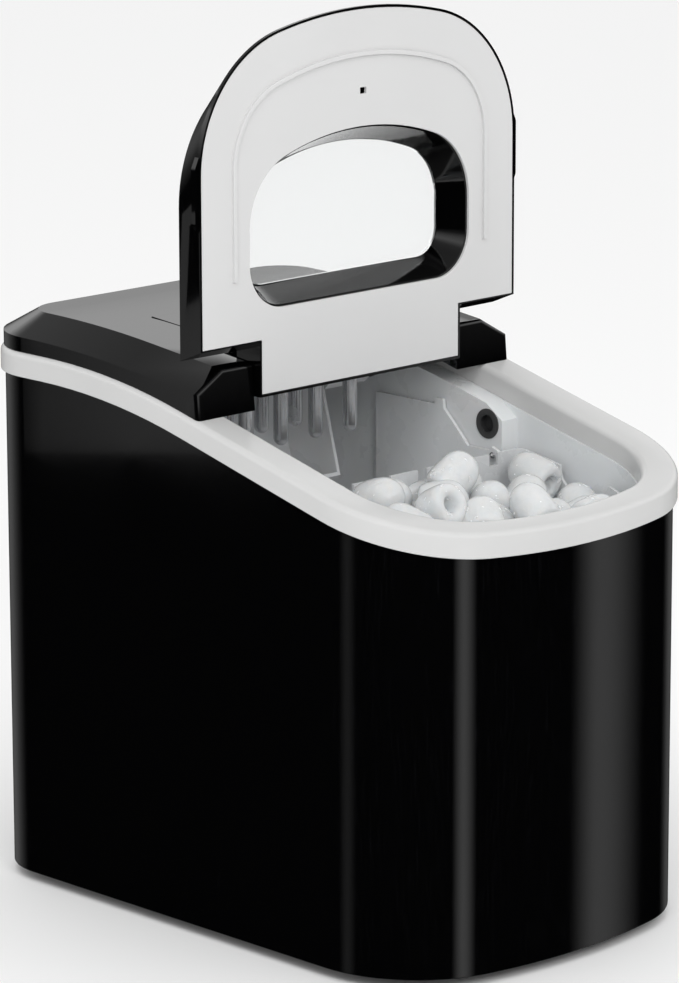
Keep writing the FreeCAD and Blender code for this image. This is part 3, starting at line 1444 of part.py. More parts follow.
def fan_blade():
    """Five-bladed axial fan on the motor's shaft."""
    hub = rod("FanHub", "y", "11", "9", "fan_place", "105", "fan_level")
    centre = Vector(value("fan_place"), 109.5, value("fan_level"))
    pitched = Placement(Vector(0, 0, BLADE_ROOT), Rotation(Vector(0, 0, 1), BLADE_PITCH))
    centred = Placement(Vector(-BLADE_CHORD / 2, -BLADE_THICK / 2, 0), Rotation())
    blades = []
    for k in range(BLADES):
        blade = doc.addObject("Part::Box", f"Blade{k}")
        blade.Length, blade.Width = BLADE_CHORD, BLADE_THICK
        blade.setExpression("Height", ex(f"fan_radius - 2.5 - {BLADE_ROOT}"))
        around = Placement(centre, Rotation(Vector(0, 1, 0), 360 / BLADES * k))
        blade.Placement = around.multiply(pitched).multiply(centred)
        blades.append(blade)
    bore = rod("FanBore", "y", "1.55", "13.2", "fan_place", "101", "fan_level")
    return keep(without("FanBlade", joined("FanJoined", [hub, *blades]), [bore]), "fan_blade")


def discharge_tube():
    """Hot-gas line from the compressor to the condenser."""
    points = [Vector(-30, 84, 172), Vector(-30, 84, 184), Vector(10, 104, 184),
              Vector(10, 150, 168), Vector(10, 150, 40), Vector(22, 150, 40)]
    return keep(tube("DischargeTube", points, 3.2, 8), "discharge_tube")


def suction_tube():
    """Return line from the evaporator down to the compressor."""
    level = value("tube_level")
    points = [Vector(38, 119, level), Vector(38, 133, level), Vector(38, 133, 200),
              Vector(-66, 116, 200), Vector(-66, 116, 172)]
    return keep(tube("SuctionTube", points, 3.2, 9), "suction_tube")


def filter_drier():
    """Copper drier between the condenser and the capillary."""
    body = new_body("DrierBody")
    half = new_sketch(body, "DrierProfile", "XZ_Plane")
    polygon(half, [("0", "150", None), ("3", "150", None), ("8", "160", None),
                   ("8", "200", None), ("3", "210", None), ("0", "210", None)])
    revolve(body, half)
    body.setExpression("Placement.Base.x", "104")
    body.setExpression("Placement.Base.y", "132")
    return keep(body, "filter_drier")


def capillary_tube():
    """Thin coiled line from the drier to the evaporator's inlet."""
    level = value("tube_level")
    points = [Vector(104, 132, 210), Vector(104, 132, 232), Vector(60, 146, 240),
              Vector(24, 146, 262), Vector(24, 146, level), Vector(24, 119, level)]
    return keep(tube("CapillaryTube", points, 1.5, 7), "capillary_tube")


def hot_gas_valve():
    """Solenoid valve that sends hot gas to the evaporator to free the ice."""
    body = rod("ValveBody", "z", "7", "26", "-20", "136", "226")
    coil = block("ValveCoil", "-34", "-6", "123", "149", "231", "249")
    return keep(joined("HotGasValve", [body, coil]), "hot_gas_valve")


def valve_bracket():
    """Folded bracket that holds the valve on the rear panel."""
    plate = block("BracketPlate", "-30", "-10", "149", "172", "226", "228")
    lip = block("BracketLip", "-30", "-10", "170", "172", "228", "246")
    return keep(joined("ValveBracket", [plate, lip]), "valve_bracket")


# ---- electrics ----

def power_inlet():
    """Appliance inlet in the rear panel: a shell with a deep socket."""
    flange = block("InletFlange", "-62", "-28", "casing_reach - 0.5", "casing_reach + 1.5",
                   "32", "58")
    body = block("InletBody", "-58", "-32", "casing_reach - 20", "casing_reach", "35.5", "54.5")
    socket = block("InletSocket", "-56", "-34", "casing_reach - 16", "casing_reach + 5",
                   "38", "52")
    return keep(without("PowerInlet", joined("InletJoined", [flange, body]), [socket]),
                "power_inlet")


def inlet_pins():
    pins = [block(f"InletPin{k}", x - 1, x + 1, "casing_reach - 16", "casing_reach - 3",
                  z - 2, z + 2) for k, (x, z) in enumerate(((-52, 44), (-45, 47.5), (-38, 44)))]
    return keep(group("InletPins", pins), "inlet_pins")


# ---- build, check and write ----

MAKERS = [
    outer_casing, back_panel, panel_screws, base_pan, rubber_feet, top_rim, tank_mouldings,
    tank_insulation, rear_cover, control_panel, indicator_lenses, control_board,
    lid_shell, lid_liner, lid_window, hinge_pins, hinge_bushes, ice_basket,
    freezing_fingers, evaporator_tube, water_tray, tray_shaft, tray_bushes, tray_motor,
    ice_shovel, shovel_pins, water_nozzle, ice_sensors, water_pump, pump_hose, level_probe,
    drain_spout, drain_plug, compressor, compressor_mounts, terminal_cover, start_relay,
    condenser_tube, condenser_fins, fan_shroud, fan_motor, fan_blade, discharge_tube,
    suction_tube, filter_drier, capillary_tube, hot_gas_valve, valve_bracket,
    power_inlet, inlet_pins,
]


def check():
    """Stop if any object failed or any sub-part is empty or not valid."""
    for thing in doc.Objects:
        if "Invalid" in thing.State or "Error" in thing.State:
            raise RuntimeError(f"{thing.Name} failed: {thing.State}")
    for part in SUB_PARTS:
        if part.Shape.isNull() or not part.Shape.Solids or not part.Shape.isValid():
            raise RuntimeError(f"{part.Label} has no valid solid")


def write():
    os.makedirs("parts", exist_ok=True)
    for part in SUB_PARTS:
        part.Shape.exportStep(f"parts/{part.Label}.step")
        box = part.Shape.BoundBox
        print(f"{part.Label}: {len(part.Shape.Solids)} solids, {part.Shape.Volume:.0f} mm3, "
              f"x {box.XMin:.1f} {box.XMax:.1f}, y {box.YMin:.1f} {box.YMax:.1f}, "
              f"z {box.ZMin:.1f} {box.ZMax:.1f}")


for make in MAKERS:
    make()
for which in BUTTON_SPOTS:
    push_button(which)
doc.recompute()
check()
write()
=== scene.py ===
"""Looks of the countertop ice maker: materials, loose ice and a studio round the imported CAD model.

Everything is in metres, in the frame of the CAD model: +Z is up and the rounded nose faces -Y.
"""

import json
import math
import random

import bmesh
import bpy
import numpy as np
from mathutils import Matrix, Vector

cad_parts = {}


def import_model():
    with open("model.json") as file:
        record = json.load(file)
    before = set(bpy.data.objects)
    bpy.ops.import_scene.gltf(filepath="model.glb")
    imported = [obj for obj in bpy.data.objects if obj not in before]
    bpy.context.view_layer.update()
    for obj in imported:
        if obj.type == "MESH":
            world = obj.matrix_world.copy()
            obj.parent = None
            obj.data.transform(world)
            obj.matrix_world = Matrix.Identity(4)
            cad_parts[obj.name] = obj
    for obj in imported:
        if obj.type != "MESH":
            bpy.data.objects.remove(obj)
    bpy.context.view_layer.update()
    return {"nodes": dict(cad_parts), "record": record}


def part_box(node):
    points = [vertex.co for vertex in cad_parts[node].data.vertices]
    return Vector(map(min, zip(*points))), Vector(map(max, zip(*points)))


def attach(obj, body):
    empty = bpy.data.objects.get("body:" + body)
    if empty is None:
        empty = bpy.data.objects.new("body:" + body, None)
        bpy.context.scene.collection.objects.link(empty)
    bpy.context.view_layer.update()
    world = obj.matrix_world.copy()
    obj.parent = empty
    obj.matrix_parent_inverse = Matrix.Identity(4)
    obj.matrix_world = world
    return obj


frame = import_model()
MM = 0.001
BLACK = (0.0008, 0.0008, 0.0009, 1)


# ---- materials ----

class Shader:
    """A material with one Principled shader, and helpers that add detail to its sockets."""

    def __init__(self, name, color, rough, metal=0.0):
        self.material = bpy.data.materials.new(name)
        self.material.use_nodes = True
        self.nodes = self.material.node_tree.nodes
        self.links = self.material.node_tree.links
        self.main = self.nodes["Principled BSDF"]
        self.color = color
        self.set("Base Color", color)
        self.set("Roughness", rough)
        self.set("Metallic", metal)
        self.place = self.nodes.new("ShaderNodeTexCoord").outputs["Object"]
        self.height = None

    def set(self, socket, number):
        self.main.inputs[socket].default_value = number
        return self

    def noise(self, scale, detail=3.0, stretch=(1, 1, 1)):
        """Noise with about this many cells to the metre, stretched along the axes."""
        shift = self.nodes.new("ShaderNodeMapping")
        shift.inputs["Scale"].default_value = stretch
        self.links.new(self.place, shift.inputs["Vector"])
        noise = self.nodes.new("ShaderNodeTexNoise")
        noise.inputs["Scale"].default_value = scale
        noise.inputs["Detail"].default_value = detail
        self.links.new(shift.outputs["Vector"], noise.inputs["Vector"])
        return noise.outputs["Fac"]

    def cells(self, scale, feature="F1", stretch=(1, 1, 1)):
        shift = self.nodes.new("ShaderNodeMapping")
        shift.inputs["Scale"].default_value = stretch
        self.links.new(self.place, shift.inputs["Vector"])
        cells = self.nodes.new("ShaderNodeTexVoronoi")
        cells.feature = feature
        cells.inputs["Scale"].default_value = scale
        self.links.new(shift.outputs["Vector"], cells.inputs["Vector"])
        return cells.outputs["Distance"]

    def ranged(self, source, low, high, from_low=0.3, from_high=0.7):
        mapped = self.nodes.new("ShaderNodeMapRange")
        mapped.inputs["From Min"].default_value = from_low
        mapped.inputs["From Max"].default_value = from_high
        mapped.inputs["To Min"].default_value = low
        mapped.inputs["To Max"].default_value = high
        self.links.new(source, mapped.inputs["Value"])
        return mapped.outputs["Result"]

    def tint(self, source, other, low=0.3, high=0.7):
        """Blend the base colour towards another where the source is high."""
        mix = self.nodes.new("ShaderNodeMix")
        mix.data_type = "RGBA"
        under = self.main.inputs["Base Color"]
        if under.is_linked:
            self.links.new(under.links[0].from_socket, mix.inputs["A"])
        else:
            mix.inputs["A"].default_value = self.color
        mix.inputs["B"].default_value = other
        self.links.new(self.ranged(source, 0, 1, low, high), mix.inputs["Factor"])
        self.links.new(mix.outputs["Result"], under)
        return self

    def rough(self, source, low, high):
        self.links.new(self.ranged(source, low, high), self.main.inputs["Roughness"])
        return self

    def bump(self, source, depth):
        """Raise the surface by up to depth metres where the source is high."""
        bump = self.nodes.new("ShaderNodeBump")
        bump.inputs["Strength"].default_value = 1.0
        bump.inputs["Distance"].default_value = depth
        self.links.new(source, bump.inputs["Height"])
        if self.height:
            self.links.new(self.height, bump.inputs["Normal"])
        self.height = bump.outputs["Normal"]
        self.links.new(self.height, self.main.inputs["Normal"])
        return self

    def edges(self, other, low=0.53, high=0.62):
        """Lighter colour along sharp convex edges: a painted edge highlight."""
        shape = self.nodes.new("ShaderNodeNewGeometry")
        return self.tint(shape.outputs["Pointiness"], other, low, high)


def gloss_black():
    shader = Shader("gloss_black", BLACK, 0.06)
    shader.rough(shader.noise(14, 5), 0.045, 0.085)
    shader.bump(shader.noise(260, 2), 0.000004)
    shader.tint(shader.noise(1400, 2, (1, 1, 0.05)), (0.003, 0.003, 0.0035, 1), 0.55, 0.8)
    return shader.set("Coat Weight", 0.35).set("Coat Roughness", 0.03).set("IOR", 1.48)


def gloss_white():
    shader = Shader("gloss_white", (0.60, 0.60, 0.597, 1), 0.2)
    shader.tint(shader.noise(9, 4), (0.565, 0.565, 0.562, 1))
    shader.rough(shader.noise(30, 5), 0.14, 0.26)
    shader.bump(shader.noise(500, 2), 0.000006)
    return shader.set("Subsurface Weight", 0.06).set("Subsurface Radius", (0.004, 0.004, 0.004))


def liner_white():
    shader = Shader("liner_white", (0.65, 0.65, 0.65, 1), 0.36)
    shader.tint(shader.noise(7, 4), (0.62, 0.62, 0.62, 1))
    shader.rough(shader.noise(25, 5), 0.3, 0.44)
    shader.bump(shader.noise(1500, 3), 0.000012)
    return shader


def tank_white():
    shader = Shader("tank_white", (0.78, 0.784, 0.79, 1), 0.3)
    shader.tint(shader.noise(16, 5, (1, 1, 0.35)), (0.72, 0.724, 0.732, 1))
    shader.rough(shader.noise(40, 5), 0.2, 0.42)
    shader.bump(shader.noise(700, 3), 0.00001)
    return shader.set("Subsurface Weight", 0.05)


def basket_plastic():
    shader = Shader("basket_plastic", (0.68, 0.69, 0.70, 1), 0.32)
    shader.tint(shader.noise(22, 5), (0.60, 0.61, 0.62, 1))
    shader.rough(shader.noise(60, 4), 0.22, 0.42)
    shader.bump(shader.noise(900, 3), 0.00001)
    return shader.set("Subsurface Weight", 0.15).set("Subsurface Radius", (0.006, 0.006, 0.006))


def clear_window():
    shader = Shader("clear_window", (0.97, 0.98, 0.98, 1), 0.02)
    shader.rough(shader.noise(60, 4), 0.01, 0.04)
    shader.bump(shader.noise(35, 1), 0.00001)
    return shader.set("Transmission Weight", 0.97).set("IOR", 1.2)


def clear_hose():
    shader = Shader("clear_hose", (0.86, 0.88, 0.90, 1), 0.15)
    shader.rough(shader.noise(90, 4), 0.1, 0.3)
    return shader.set("Transmission Weight", 0.7).set("IOR", 1.4)


def grey_plastic():
    shader = Shader("grey_plastic", (0.022, 0.022, 0.023, 1), 0.5)
    shader.tint(shader.noise(30, 4), (0.030, 0.030, 0.031, 1))
    shader.rough(shader.noise(60, 4), 0.42, 0.6)
    shader.bump(shader.noise(1800, 3), 0.00006)
    # Painted highlight: the edges call lightens the sharp edges to a paler grey.
    return shader.edges((0.05, 0.05, 0.05, 1))


def black_rubber():
    shader = Shader("black_rubber", (0.018, 0.018, 0.018, 1), 0.75)
    shader.tint(shader.noise(90, 5), (0.032, 0.031, 0.030, 1))
    shader.rough(shader.noise(120, 4), 0.65, 0.85)
    shader.bump(shader.noise(2400, 4), 0.00008)
    # Painted highlight: the edges call lightens the sharp edges to a paler warm grey.
    return shader.edges((0.06, 0.058, 0.055, 1))


def foam():
    shader = Shader("foam", (0.80, 0.80, 0.74, 1), 0.95)
    shader.tint(shader.cells(420), (0.62, 0.61, 0.54, 1), 0.2, 0.8)
    return shader.bump(shader.cells(420), 0.0004)


def chrome():
    shader = Shader("chrome", (0.82, 0.82, 0.84, 1), 0.08, 1.0)
    shader.rough(shader.noise(80, 5), 0.04, 0.16)
    return shader.bump(shader.noise(1500, 2, (1, 1, 0.1)), 0.000004)


def nickel():
    shader = Shader("nickel", (0.66, 0.66, 0.67, 1), 0.18, 1.0)
    shader.tint(shader.noise(60, 5, (1, 1, 0.3)), (0.50, 0.50, 0.51, 1))
    shader.rough(shader.noise(50, 5), 0.1, 0.3)
    return shader.bump(shader.noise(900, 3, (1, 1, 0.15)), 0.00001)


def copper():
    shader = Shader("copper", (0.72, 0.33, 0.19, 1), 0.28, 1.0)
    shader.tint(shader.noise(45, 6), (0.42, 0.19, 0.12, 1), 0.45, 0.75)
    shader.rough(shader.noise(70, 5), 0.2, 0.42)
    return shader.bump(shader.noise(1200, 3), 0.00001)


def fin_aluminium():
    shader = Shader("fin_aluminium", (0.76, 0.77, 0.78, 1), 0.32, 1.0)
    shader.tint(shader.noise(80, 5), (0.60, 0.61, 0.62, 1))
    shader.rough(shader.noise(200, 4, (1, 1, 0.08)), 0.22, 0.42)
    return shader.bump(shader.noise(1500, 3, (1, 1, 0.08)), 0.00001)


def black_steel():
    shader = Shader("black_steel", (0.012, 0.012, 0.012, 1), 0.25)
    shader.tint(shader.noise(40, 5), (0.02, 0.02, 0.02, 1))
    shader.rough(shader.noise(50, 5), 0.18, 0.36)
    shader.bump(shader.noise(500, 3), 0.00003)
    # Painted highlight: the edges call lightens the sharp edges to a paler warm grey.
    return shader.edges((0.09, 0.085, 0.08, 1), 0.56, 0.66)


def steel():
    shader = Shader("steel", (0.56, 0.56, 0.58, 1), 0.3, 1.0)
    shader.tint(shader.cells(260), (0.46, 0.46, 0.47, 1), 0.2, 0.9)
    shader.rough(shader.noise(150, 5), 0.22, 0.42)
    return shader.bump(shader.noise(900, 3), 0.00001)


def board_green():
    shader = Shader("board_green", (0.012, 0.10, 0.045, 1), 0.35)
    shader.tint(shader.cells(170, "DISTANCE_TO_EDGE", (1, 3, 1)), (0.02, 0.17, 0.075, 1), 0.05, 0.1)
    shader.rough(shader.noise(200, 4), 0.28, 0.45)
    return shader.bump(shader.cells(170, "DISTANCE_TO_EDGE", (1, 3, 1)), 0.00006)


def lamp():
    shader = Shader("lamp", (0.30, 0.42, 0.34, 1), 0.3)
    shader.tint(shader.noise(300, 3), (0.38, 0.50, 0.42, 1))
    shader.bump(shader.cells(1500), 0.00005)
    return shader.set("Transmission Weight", 0.25).set("Subsurface Weight", 0.2)


def silicone_white():
    shader = Shader("silicone_white", (0.70, 0.70, 0.69, 1), 0.5)
    shader.tint(shader.noise(60, 5), (0.62, 0.62, 0.60, 1))
    shader.rough(shader.noise(120, 4), 0.42, 0.6)
    return shader.bump(shader.noise(1500, 3), 0.00003)


def brass_pin():
    shader = Shader("brass_pin", (0.75, 0.56, 0.26, 1), 0.2, 1.0)
    shader.tint(shader.noise(250, 5), (0.58, 0.42, 0.20, 1))
    return shader.rough(shader.noise(300, 4), 0.12, 0.3)


def ice():
    """Cloudy ice: a milky core under a wet, slightly wavy surface."""
    shader = Shader("ice", (0.90, 0.93, 0.95, 1), 0.1)
    shader.tint(shader.noise(110, 5), (0.97, 0.98, 0.98, 1), 0.35, 0.65)
    shader.rough(shader.noise(180, 4), 0.04, 0.3)
    shader.bump(shader.noise(240, 4), 0.0005)
    shader.bump(shader.noise(1400, 3), 0.00006)
    shader.set("Subsurface Weight", 0.6).set("Subsurface Radius", (0.012, 0.013, 0.014))
    shader.set("Transmission Weight", 0.35).set("IOR", 1.31)
    return shader.set("Coat Weight", 0.4).set("Coat Roughness", 0.05)


MATERIALS = {make.__name__: make().material for make in (
    gloss_black, gloss_white, liner_white, tank_white, basket_plastic, clear_window, clear_hose,
    grey_plastic, black_rubber, foam, chrome, nickel, copper, fin_aluminium, black_steel, steel,
    board_green, lamp, silicone_white, brass_pin, ice)}


# ---- the CAD nodes ----

WELD_DISTANCE = 0.002 * MM
SHARP_ANGLE = math.radians(28)


def smoothing():
    """Node group that welds a CAD mesh and shades it smooth, except across sharp edges."""
    group = bpy.data.node_groups.new("smooth_by_edge_angle", "GeometryNodeTree")
    for way in ("INPUT", "OUTPUT"):
        group.interface.new_socket("Geometry", in_out=way, socket_type="NodeSocketGeometry")
    nodes, links = group.nodes, group.links
    start, end = nodes.new("NodeGroupInput"), nodes.new("NodeGroupOutput")
    weld = nodes.new("GeometryNodeMergeByDistance")
    weld.inputs["Distance"].default_value = WELD_DISTANCE
    faces = nodes.new("GeometryNodeSetShadeSmooth")
    faces.domain = "FACE"
    edges = nodes.new("GeometryNodeSetShadeSmooth")
    edges.domain = "EDGE"
    edges.inputs["Shade Smooth"].default_value = False
    angle = nodes.new("GeometryNodeInputMeshEdgeAngle")
    sharp = nodes.new("FunctionNodeCompare")
    sharp.inputs["B"].default_value = SHARP_ANGLE
    links.new(start.outputs[0], weld.inputs["Geometry"])
    links.new(weld.outputs["Geometry"], faces.inputs["Geometry"])
    links.new(faces.outputs["Geometry"], edges.inputs["Geometry"])
    links.new(angle.outputs["Unsigned Angle"], sharp.inputs["A"])
    links.new(sharp.outputs["Result"], edges.inputs["Selection"])
    links.new(edges.outputs["Geometry"], end.inputs[0])
    return group


SMOOTHING = smoothing()
ROUNDED_ANGLE = math.radians(35)
# Width of the rounded edges of each piece, in millimetres.
EDGE_ROUNDS = {
    "outer_casing": 0.4, "rear_cover": 0.7, "lid_shell": 0.5, "lid_liner": 0.35, "top_rim": 0.4,
    "inner_tank": 0.4, "ice_basket": 0.4, "ice_shovel": 0.3, "water_tray": 0.3,
    "base_pan": 0.4, "back_panel": 0.25, "power_inlet": 0.3, "water_nozzle": 0.3,
    "control_panel": 0.3, "power_button": 0.3, "select_button": 0.3, "drain_plug": 0.4,
}


def dress_nodes():
    slots = {part["node"]: part["material_slot"] for part in frame["record"]["subparts"]}
    for name, node in frame["nodes"].items():
        node.data.materials.clear()
        node.data.materials.append(MATERIALS[slots[name]])
        node.modifiers.new("smooth", "NODES").node_group = SMOOTHING
        if name in EDGE_ROUNDS:
            bevel = node.modifiers.new("edge_round", "BEVEL")
            bevel.width = EDGE_ROUNDS[name] * MM
            bevel.segments = 2
            bevel.limit_method = "ANGLE"
            bevel.angle_limit = ROUNDED_ANGLE
            bevel.harden_normals = True
            bevel.use_clamp_overlap = True


dress_nodes()


# ---- pieces of mesh ----

def add_piece(name, mesh, material, body):
    """A finished piece that rides on a body."""
    piece = bpy.data.objects.new(name, mesh)
    bpy.context.scene.collection.objects.link(piece)
    mesh.materials.append(MATERIALS[material])
    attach(piece, body)
    return piece


# ---- ice ----

BULLET_RADIUS = 12.0 * MM
BULLET_REACH = 9.0 * MM
BULLET_COUNT = 118
BULLET_SIDES = 22
CAVITY_END = -4.0 * MM
BASKET_WALL = 2.2 * MM
BASKET_CORNER = 50 * MM
SETTLE_STEPS = 420
REST_STEPS = 60
FALL = 0.9 * MM
REST_FALL = 0.1 * MM
PRESS_PASSES = 5
PRESS = 0.22
# The liner of the shut lid slopes over the basket: its height at the hinge, and its slope.
HINGE_PLACE = 4.4 * MM
SHUT_LINER_LEVEL = 290.1 * MM
SHUT_LINER_SLOPE = 0.253
BULLET_ROOM = 2.2 * MM


def bullet_profile():
    """Radius and height of a hollow thimble of ice, from its outer tip to the inner end."""
    dome = [(BULLET_RADIUS * 0.96 * math.sin(turn), -BULLET_RADIUS * 0.96 * math.cos(turn))
            for turn in np.linspace(0.12, math.pi / 2, 6)]
    skirt = [(BULLET_RADIUS * (0.97 + 0.03 * part), 0.014 * part) for part in (0.25, 0.5, 0.75)]
    lip = [(BULLET_RADIUS * 0.96, 0.0152), (BULLET_RADIUS * 0.80, 0.0170),
           (BULLET_RADIUS * 0.55, 0.0172), (BULLET_RADIUS * 0.37, 0.0158)]
    cavity = [(BULLET_RADIUS * 0.31, 0.011), (BULLET_RADIUS * 0.27, 0.003),
              (BULLET_RADIUS * 0.18, -0.002)]
    return dome + skirt + lip + cavity


def add_bullet(mesh, place, chance):
    """One lumpy bullet, turned into its place and added to the mesh."""
    rings = []
    lumps = [(chance.uniform(0, math.tau), chance.uniform(-0.012, 0.016), chance.uniform(-1, 1))
             for _ in range(5)]
    oval = 1 + chance.uniform(-0.07, 0.07)
    length = 1 + chance.uniform(-0.14, 0.06)
    tip = mesh.verts.new(place @ Vector((0, 0, -BULLET_RADIUS * 0.97 * length)))
    for radius, height in bullet_profile():
        ring = []
        for side in range(BULLET_SIDES):
            turn = math.tau * side / BULLET_SIDES
            swell = sum(size * math.exp(-((height - level) / 0.008) ** 2)
                        * math.cos(turn - where) for where, level, size in lumps)
            reach = radius * (1 + 0.045 * swell)
            point = Vector((reach * math.cos(turn) * oval, reach * math.sin(turn) / oval,
                            height * length))
            ring.append(mesh.verts.new(place @ point))
        rings.append(ring)
    end = mesh.verts.new(place @ Vector((0, 0, CAVITY_END * length)))
    for side in range(BULLET_SIDES):
        following = (side + 1) % BULLET_SIDES
        mesh.faces.new((tip, rings[0][following], rings[0][side]))
        for low, high in zip(rings, rings[1:]):
            mesh.faces.new((low[side], low[following], high[following], high[side]))
        mesh.faces.new((end, rings[-1][side], rings[-1][following]))


def inside_basket(points):
    """Move the bullets' ball centres back inside the basket's walls, and up off its floor."""
    low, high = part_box("ice_basket")
    wall = BASKET_WALL + BULLET_RADIUS
    corner = BASKET_CORNER - wall
    half, front, rear = high.x - wall, low.y + wall, high.y - wall
    points[:, 2] = np.maximum(points[:, 2], low.z + wall)
    points[:, 1] = np.clip(points[:, 1], front, rear)
    points[:, 0] = np.clip(points[:, 0], -half, half)
    for side in (-1, 1):
        centre = np.array([side * (half - corner), front + corner])
        off = points[:, :2] - centre
        far = np.linalg.norm(off, axis=1)
        out = (off[:, 0] * side > 0) & (off[:, 1] < 0) & (far > corner)
        points[out, :2] = centre + off[out] * (corner / far[out])[:, None]


def settle():
    """Drop pairs of balls, one pair to a bullet, into the basket and press them apart."""
    chance = np.random.default_rng(11)
    low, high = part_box("ice_basket")
    middle = (low + high) / 2
    ends = np.zeros((BULLET_COUNT, 2, 3))
    for k in range(BULLET_COUNT):
        start = np.array([chance.uniform(-0.07, 0.07), middle.y + chance.uniform(-0.035, 0.035),
                          low.z + 0.02 + 0.0017 * k])
        way = chance.normal(size=3)
        way /= np.linalg.norm(way)
        ends[k] = start - way * BULLET_REACH / 2, start + way * BULLET_REACH / 2
    points = ends.reshape(-1, 3)
    partner = np.arange(len(points)) ^ 1
    for step in range(SETTLE_STEPS):
        points[:, 2] -= FALL if step < SETTLE_STEPS - REST_STEPS else REST_FALL
        for _ in range(PRESS_PASSES):
            gap = points[:, None, :] - points[None, :, :]
            far = np.linalg.norm(gap, axis=2) + 1e-9
            near = np.clip(2 * BULLET_RADIUS - far, 0, None)
            np.fill_diagonal(near, 0)
            near[np.arange(len(points)), partner] = 0
            points += (gap / far[:, :, None] * near[:, :, None]).sum(1) * PRESS
            off = points[partner] - points
            far = np.linalg.norm(off, axis=1, keepdims=True)
            points += off / far * (far - BULLET_REACH) * 0.5
            inside_basket(points)
    return points.reshape(-1, 2, 3)


def meets_shut_lid(end):
    """Whether a bullet's end would stand in the way of the lid's liner when the lid is shut."""
    liner = SHUT_LINER_LEVEL + (end[1] - HINGE_PLACE) * SHUT_LINER_SLOPE
    return end[2] + BULLET_RADIUS + BULLET_ROOM > liner


def ice_bullets():
    """The heap of loose bullets, with most of the upturned ones laid open end down."""
    chance = random.Random(5)
    mesh = bmesh.new()
    for low, high in settle():
        if meets_shut_lid(low) or meets_shut_lid(high):
            continue
        way = Vector(high - low).normalized()
        if way.z > 0.25 and chance.random() < 0.8:
            way = -way
        turn = way.to_track_quat("Z", "Y").to_matrix().to_4x4()
        roll = Matrix.Rotation(chance.uniform(0, math.tau), 4, "Z")
        centre = Matrix.Translation(Vector((low + high) / 2))
        add_bullet(mesh, centre @ turn @ roll, chance)
    data = bpy.data.meshes.new("ice_bullets")
    bmesh.ops.recalc_face_normals(mesh, faces=mesh.faces)
    mesh.to_mesh(data)
    mesh.free()
    data.shade_smooth()
    piece = add_piece("ice_bullets", data, "ice", "basket")
    piece.modifiers.new("soften", "SUBSURF").render_levels = 1
    return piece


ice_bullets()


# ---- studio ----

CAMERA_AZIMUTH = math.radians(-44.138)
CAMERA_ELEVATION = math.radians(13.025)
CAMERA_ROLL = math.radians(-0.163)
CAMERA_TARGET = Vector((-0.003545, 0.003440, 0.22967))
CAMERA_DISTANCE = 2.67934
CAMERA_LENS = 177.66


def camera():
    """The camera, to the left of the nose and looking down a little."""
    azimuth, elevation, roll = CAMERA_AZIMUTH, CAMERA_ELEVATION, CAMERA_ROLL
    back = Vector((math.sin(azimuth) * math.cos(elevation),
                   -math.cos(azimuth) * math.cos(elevation), math.sin(elevation)))
    data = bpy.data.cameras.new("camera")
    data.sensor_width = 36
    data.lens = CAMERA_LENS
    thing = bpy.data.objects.new("camera", data)
    bpy.context.scene.collection.objects.link(thing)
    right = Vector((math.cos(azimuth), math.sin(azimuth), 0))
    up = back.cross(right)
    across = right * math.cos(roll) + up * math.sin(roll)
    above = up * math.cos(roll) - right * math.sin(roll)
    turn = Matrix((across, above, back)).transposed().to_4x4()
    thing.matrix_world = Matrix.Translation(CAMERA_TARGET + back * CAMERA_DISTANCE) @ turn
    bpy.context.scene.camera = thing


FLOOR_HALF = 9


def floor():
    """A plain pale floor that the gloss walls don't mirror."""
    half = FLOOR_HALF
    mesh = bpy.data.meshes.new("floor")
    mesh.from_pydata([(-half, -half, 0), (half, -half, 0), (half, half, 0), (-half, half, 0)],
                     [], [(0, 1, 2, 3)])
    thing = bpy.data.objects.new("floor", mesh)
    bpy.context.scene.collection.objects.link(thing)
    shader = Shader("floor", (0.93, 0.93, 0.93, 1), 0.9)
    shader.set("Specular IOR Level", 0.0)
    mesh.materials.append(shader.material)
    thing.visible_glossy = False


STRIP_DISTANCE = 2.5


def strip(name, azimuth, width, strength, fall=0.5, levels=(-2.2, -0.12)):
    """Upright soft light that only reflections see, with a soft edge on both sides.

    Azimuth and width are in degrees, and fall is where the brightest line is across it."""
    turn = math.radians(azimuth)
    far = STRIP_DISTANCE
    centre = Vector((math.cos(turn), math.sin(turn), 0)) * far
    side = Vector((-math.sin(turn), math.cos(turn), 0)) * far * math.tan(math.radians(width) / 2)
    low, high = (Vector((0, 0, level)) for level in levels)
    corners = [centre - side + low, centre + side + low, centre + side + high, centre - side + high]
    mesh = bpy.data.meshes.new(name)
    mesh.from_pydata(corners, [], [(0, 1, 2, 3)])
    layer = mesh.uv_layers.new(name="across")
    for loop, spot in zip(layer.data, ((0, 0), (1, 0), (1, 1), (0, 1))):
        loop.uv = spot
    thing = bpy.data.objects.new(name, mesh)
    bpy.context.scene.collection.objects.link(thing)
    material = bpy.data.materials.new(name)
    material.use_nodes = True
    nodes, links = material.node_tree.nodes, material.node_tree.links
    nodes.remove(nodes["Principled BSDF"])
    glow = nodes.new("ShaderNodeEmission")
    spot = nodes.new("ShaderNodeUVMap")
    split = nodes.new("ShaderNodeSeparateXYZ")
    ramp = nodes.new("ShaderNodeValToRGB")
    ramp.color_ramp.interpolation = "EASE"
    ramp.color_ramp.elements[0].color = (0, 0, 0, 1)
    ramp.color_ramp.elements[1].position = 1
    ramp.color_ramp.elements[1].color = (0, 0, 0, 1)
    ramp.color_ramp.elements.new(fall).color = (strength,) * 3 + (1,)
    glow.inputs["Strength"].default_value = 1
    links.new(spot.outputs["UV"], split.inputs["Vector"])
    links.new(split.outputs["X"], ramp.inputs["Fac"])
    links.new(ramp.outputs["Color"], glow.inputs["Color"])
    links.new(glow.outputs["Emission"], nodes["Material Output"].inputs["Surface"])
    mesh.materials.append(material)
    thing.visible_camera = False
    thing.visible_diffuse = False
    thing.visible_transmission = False
    thing.visible_shadow = False


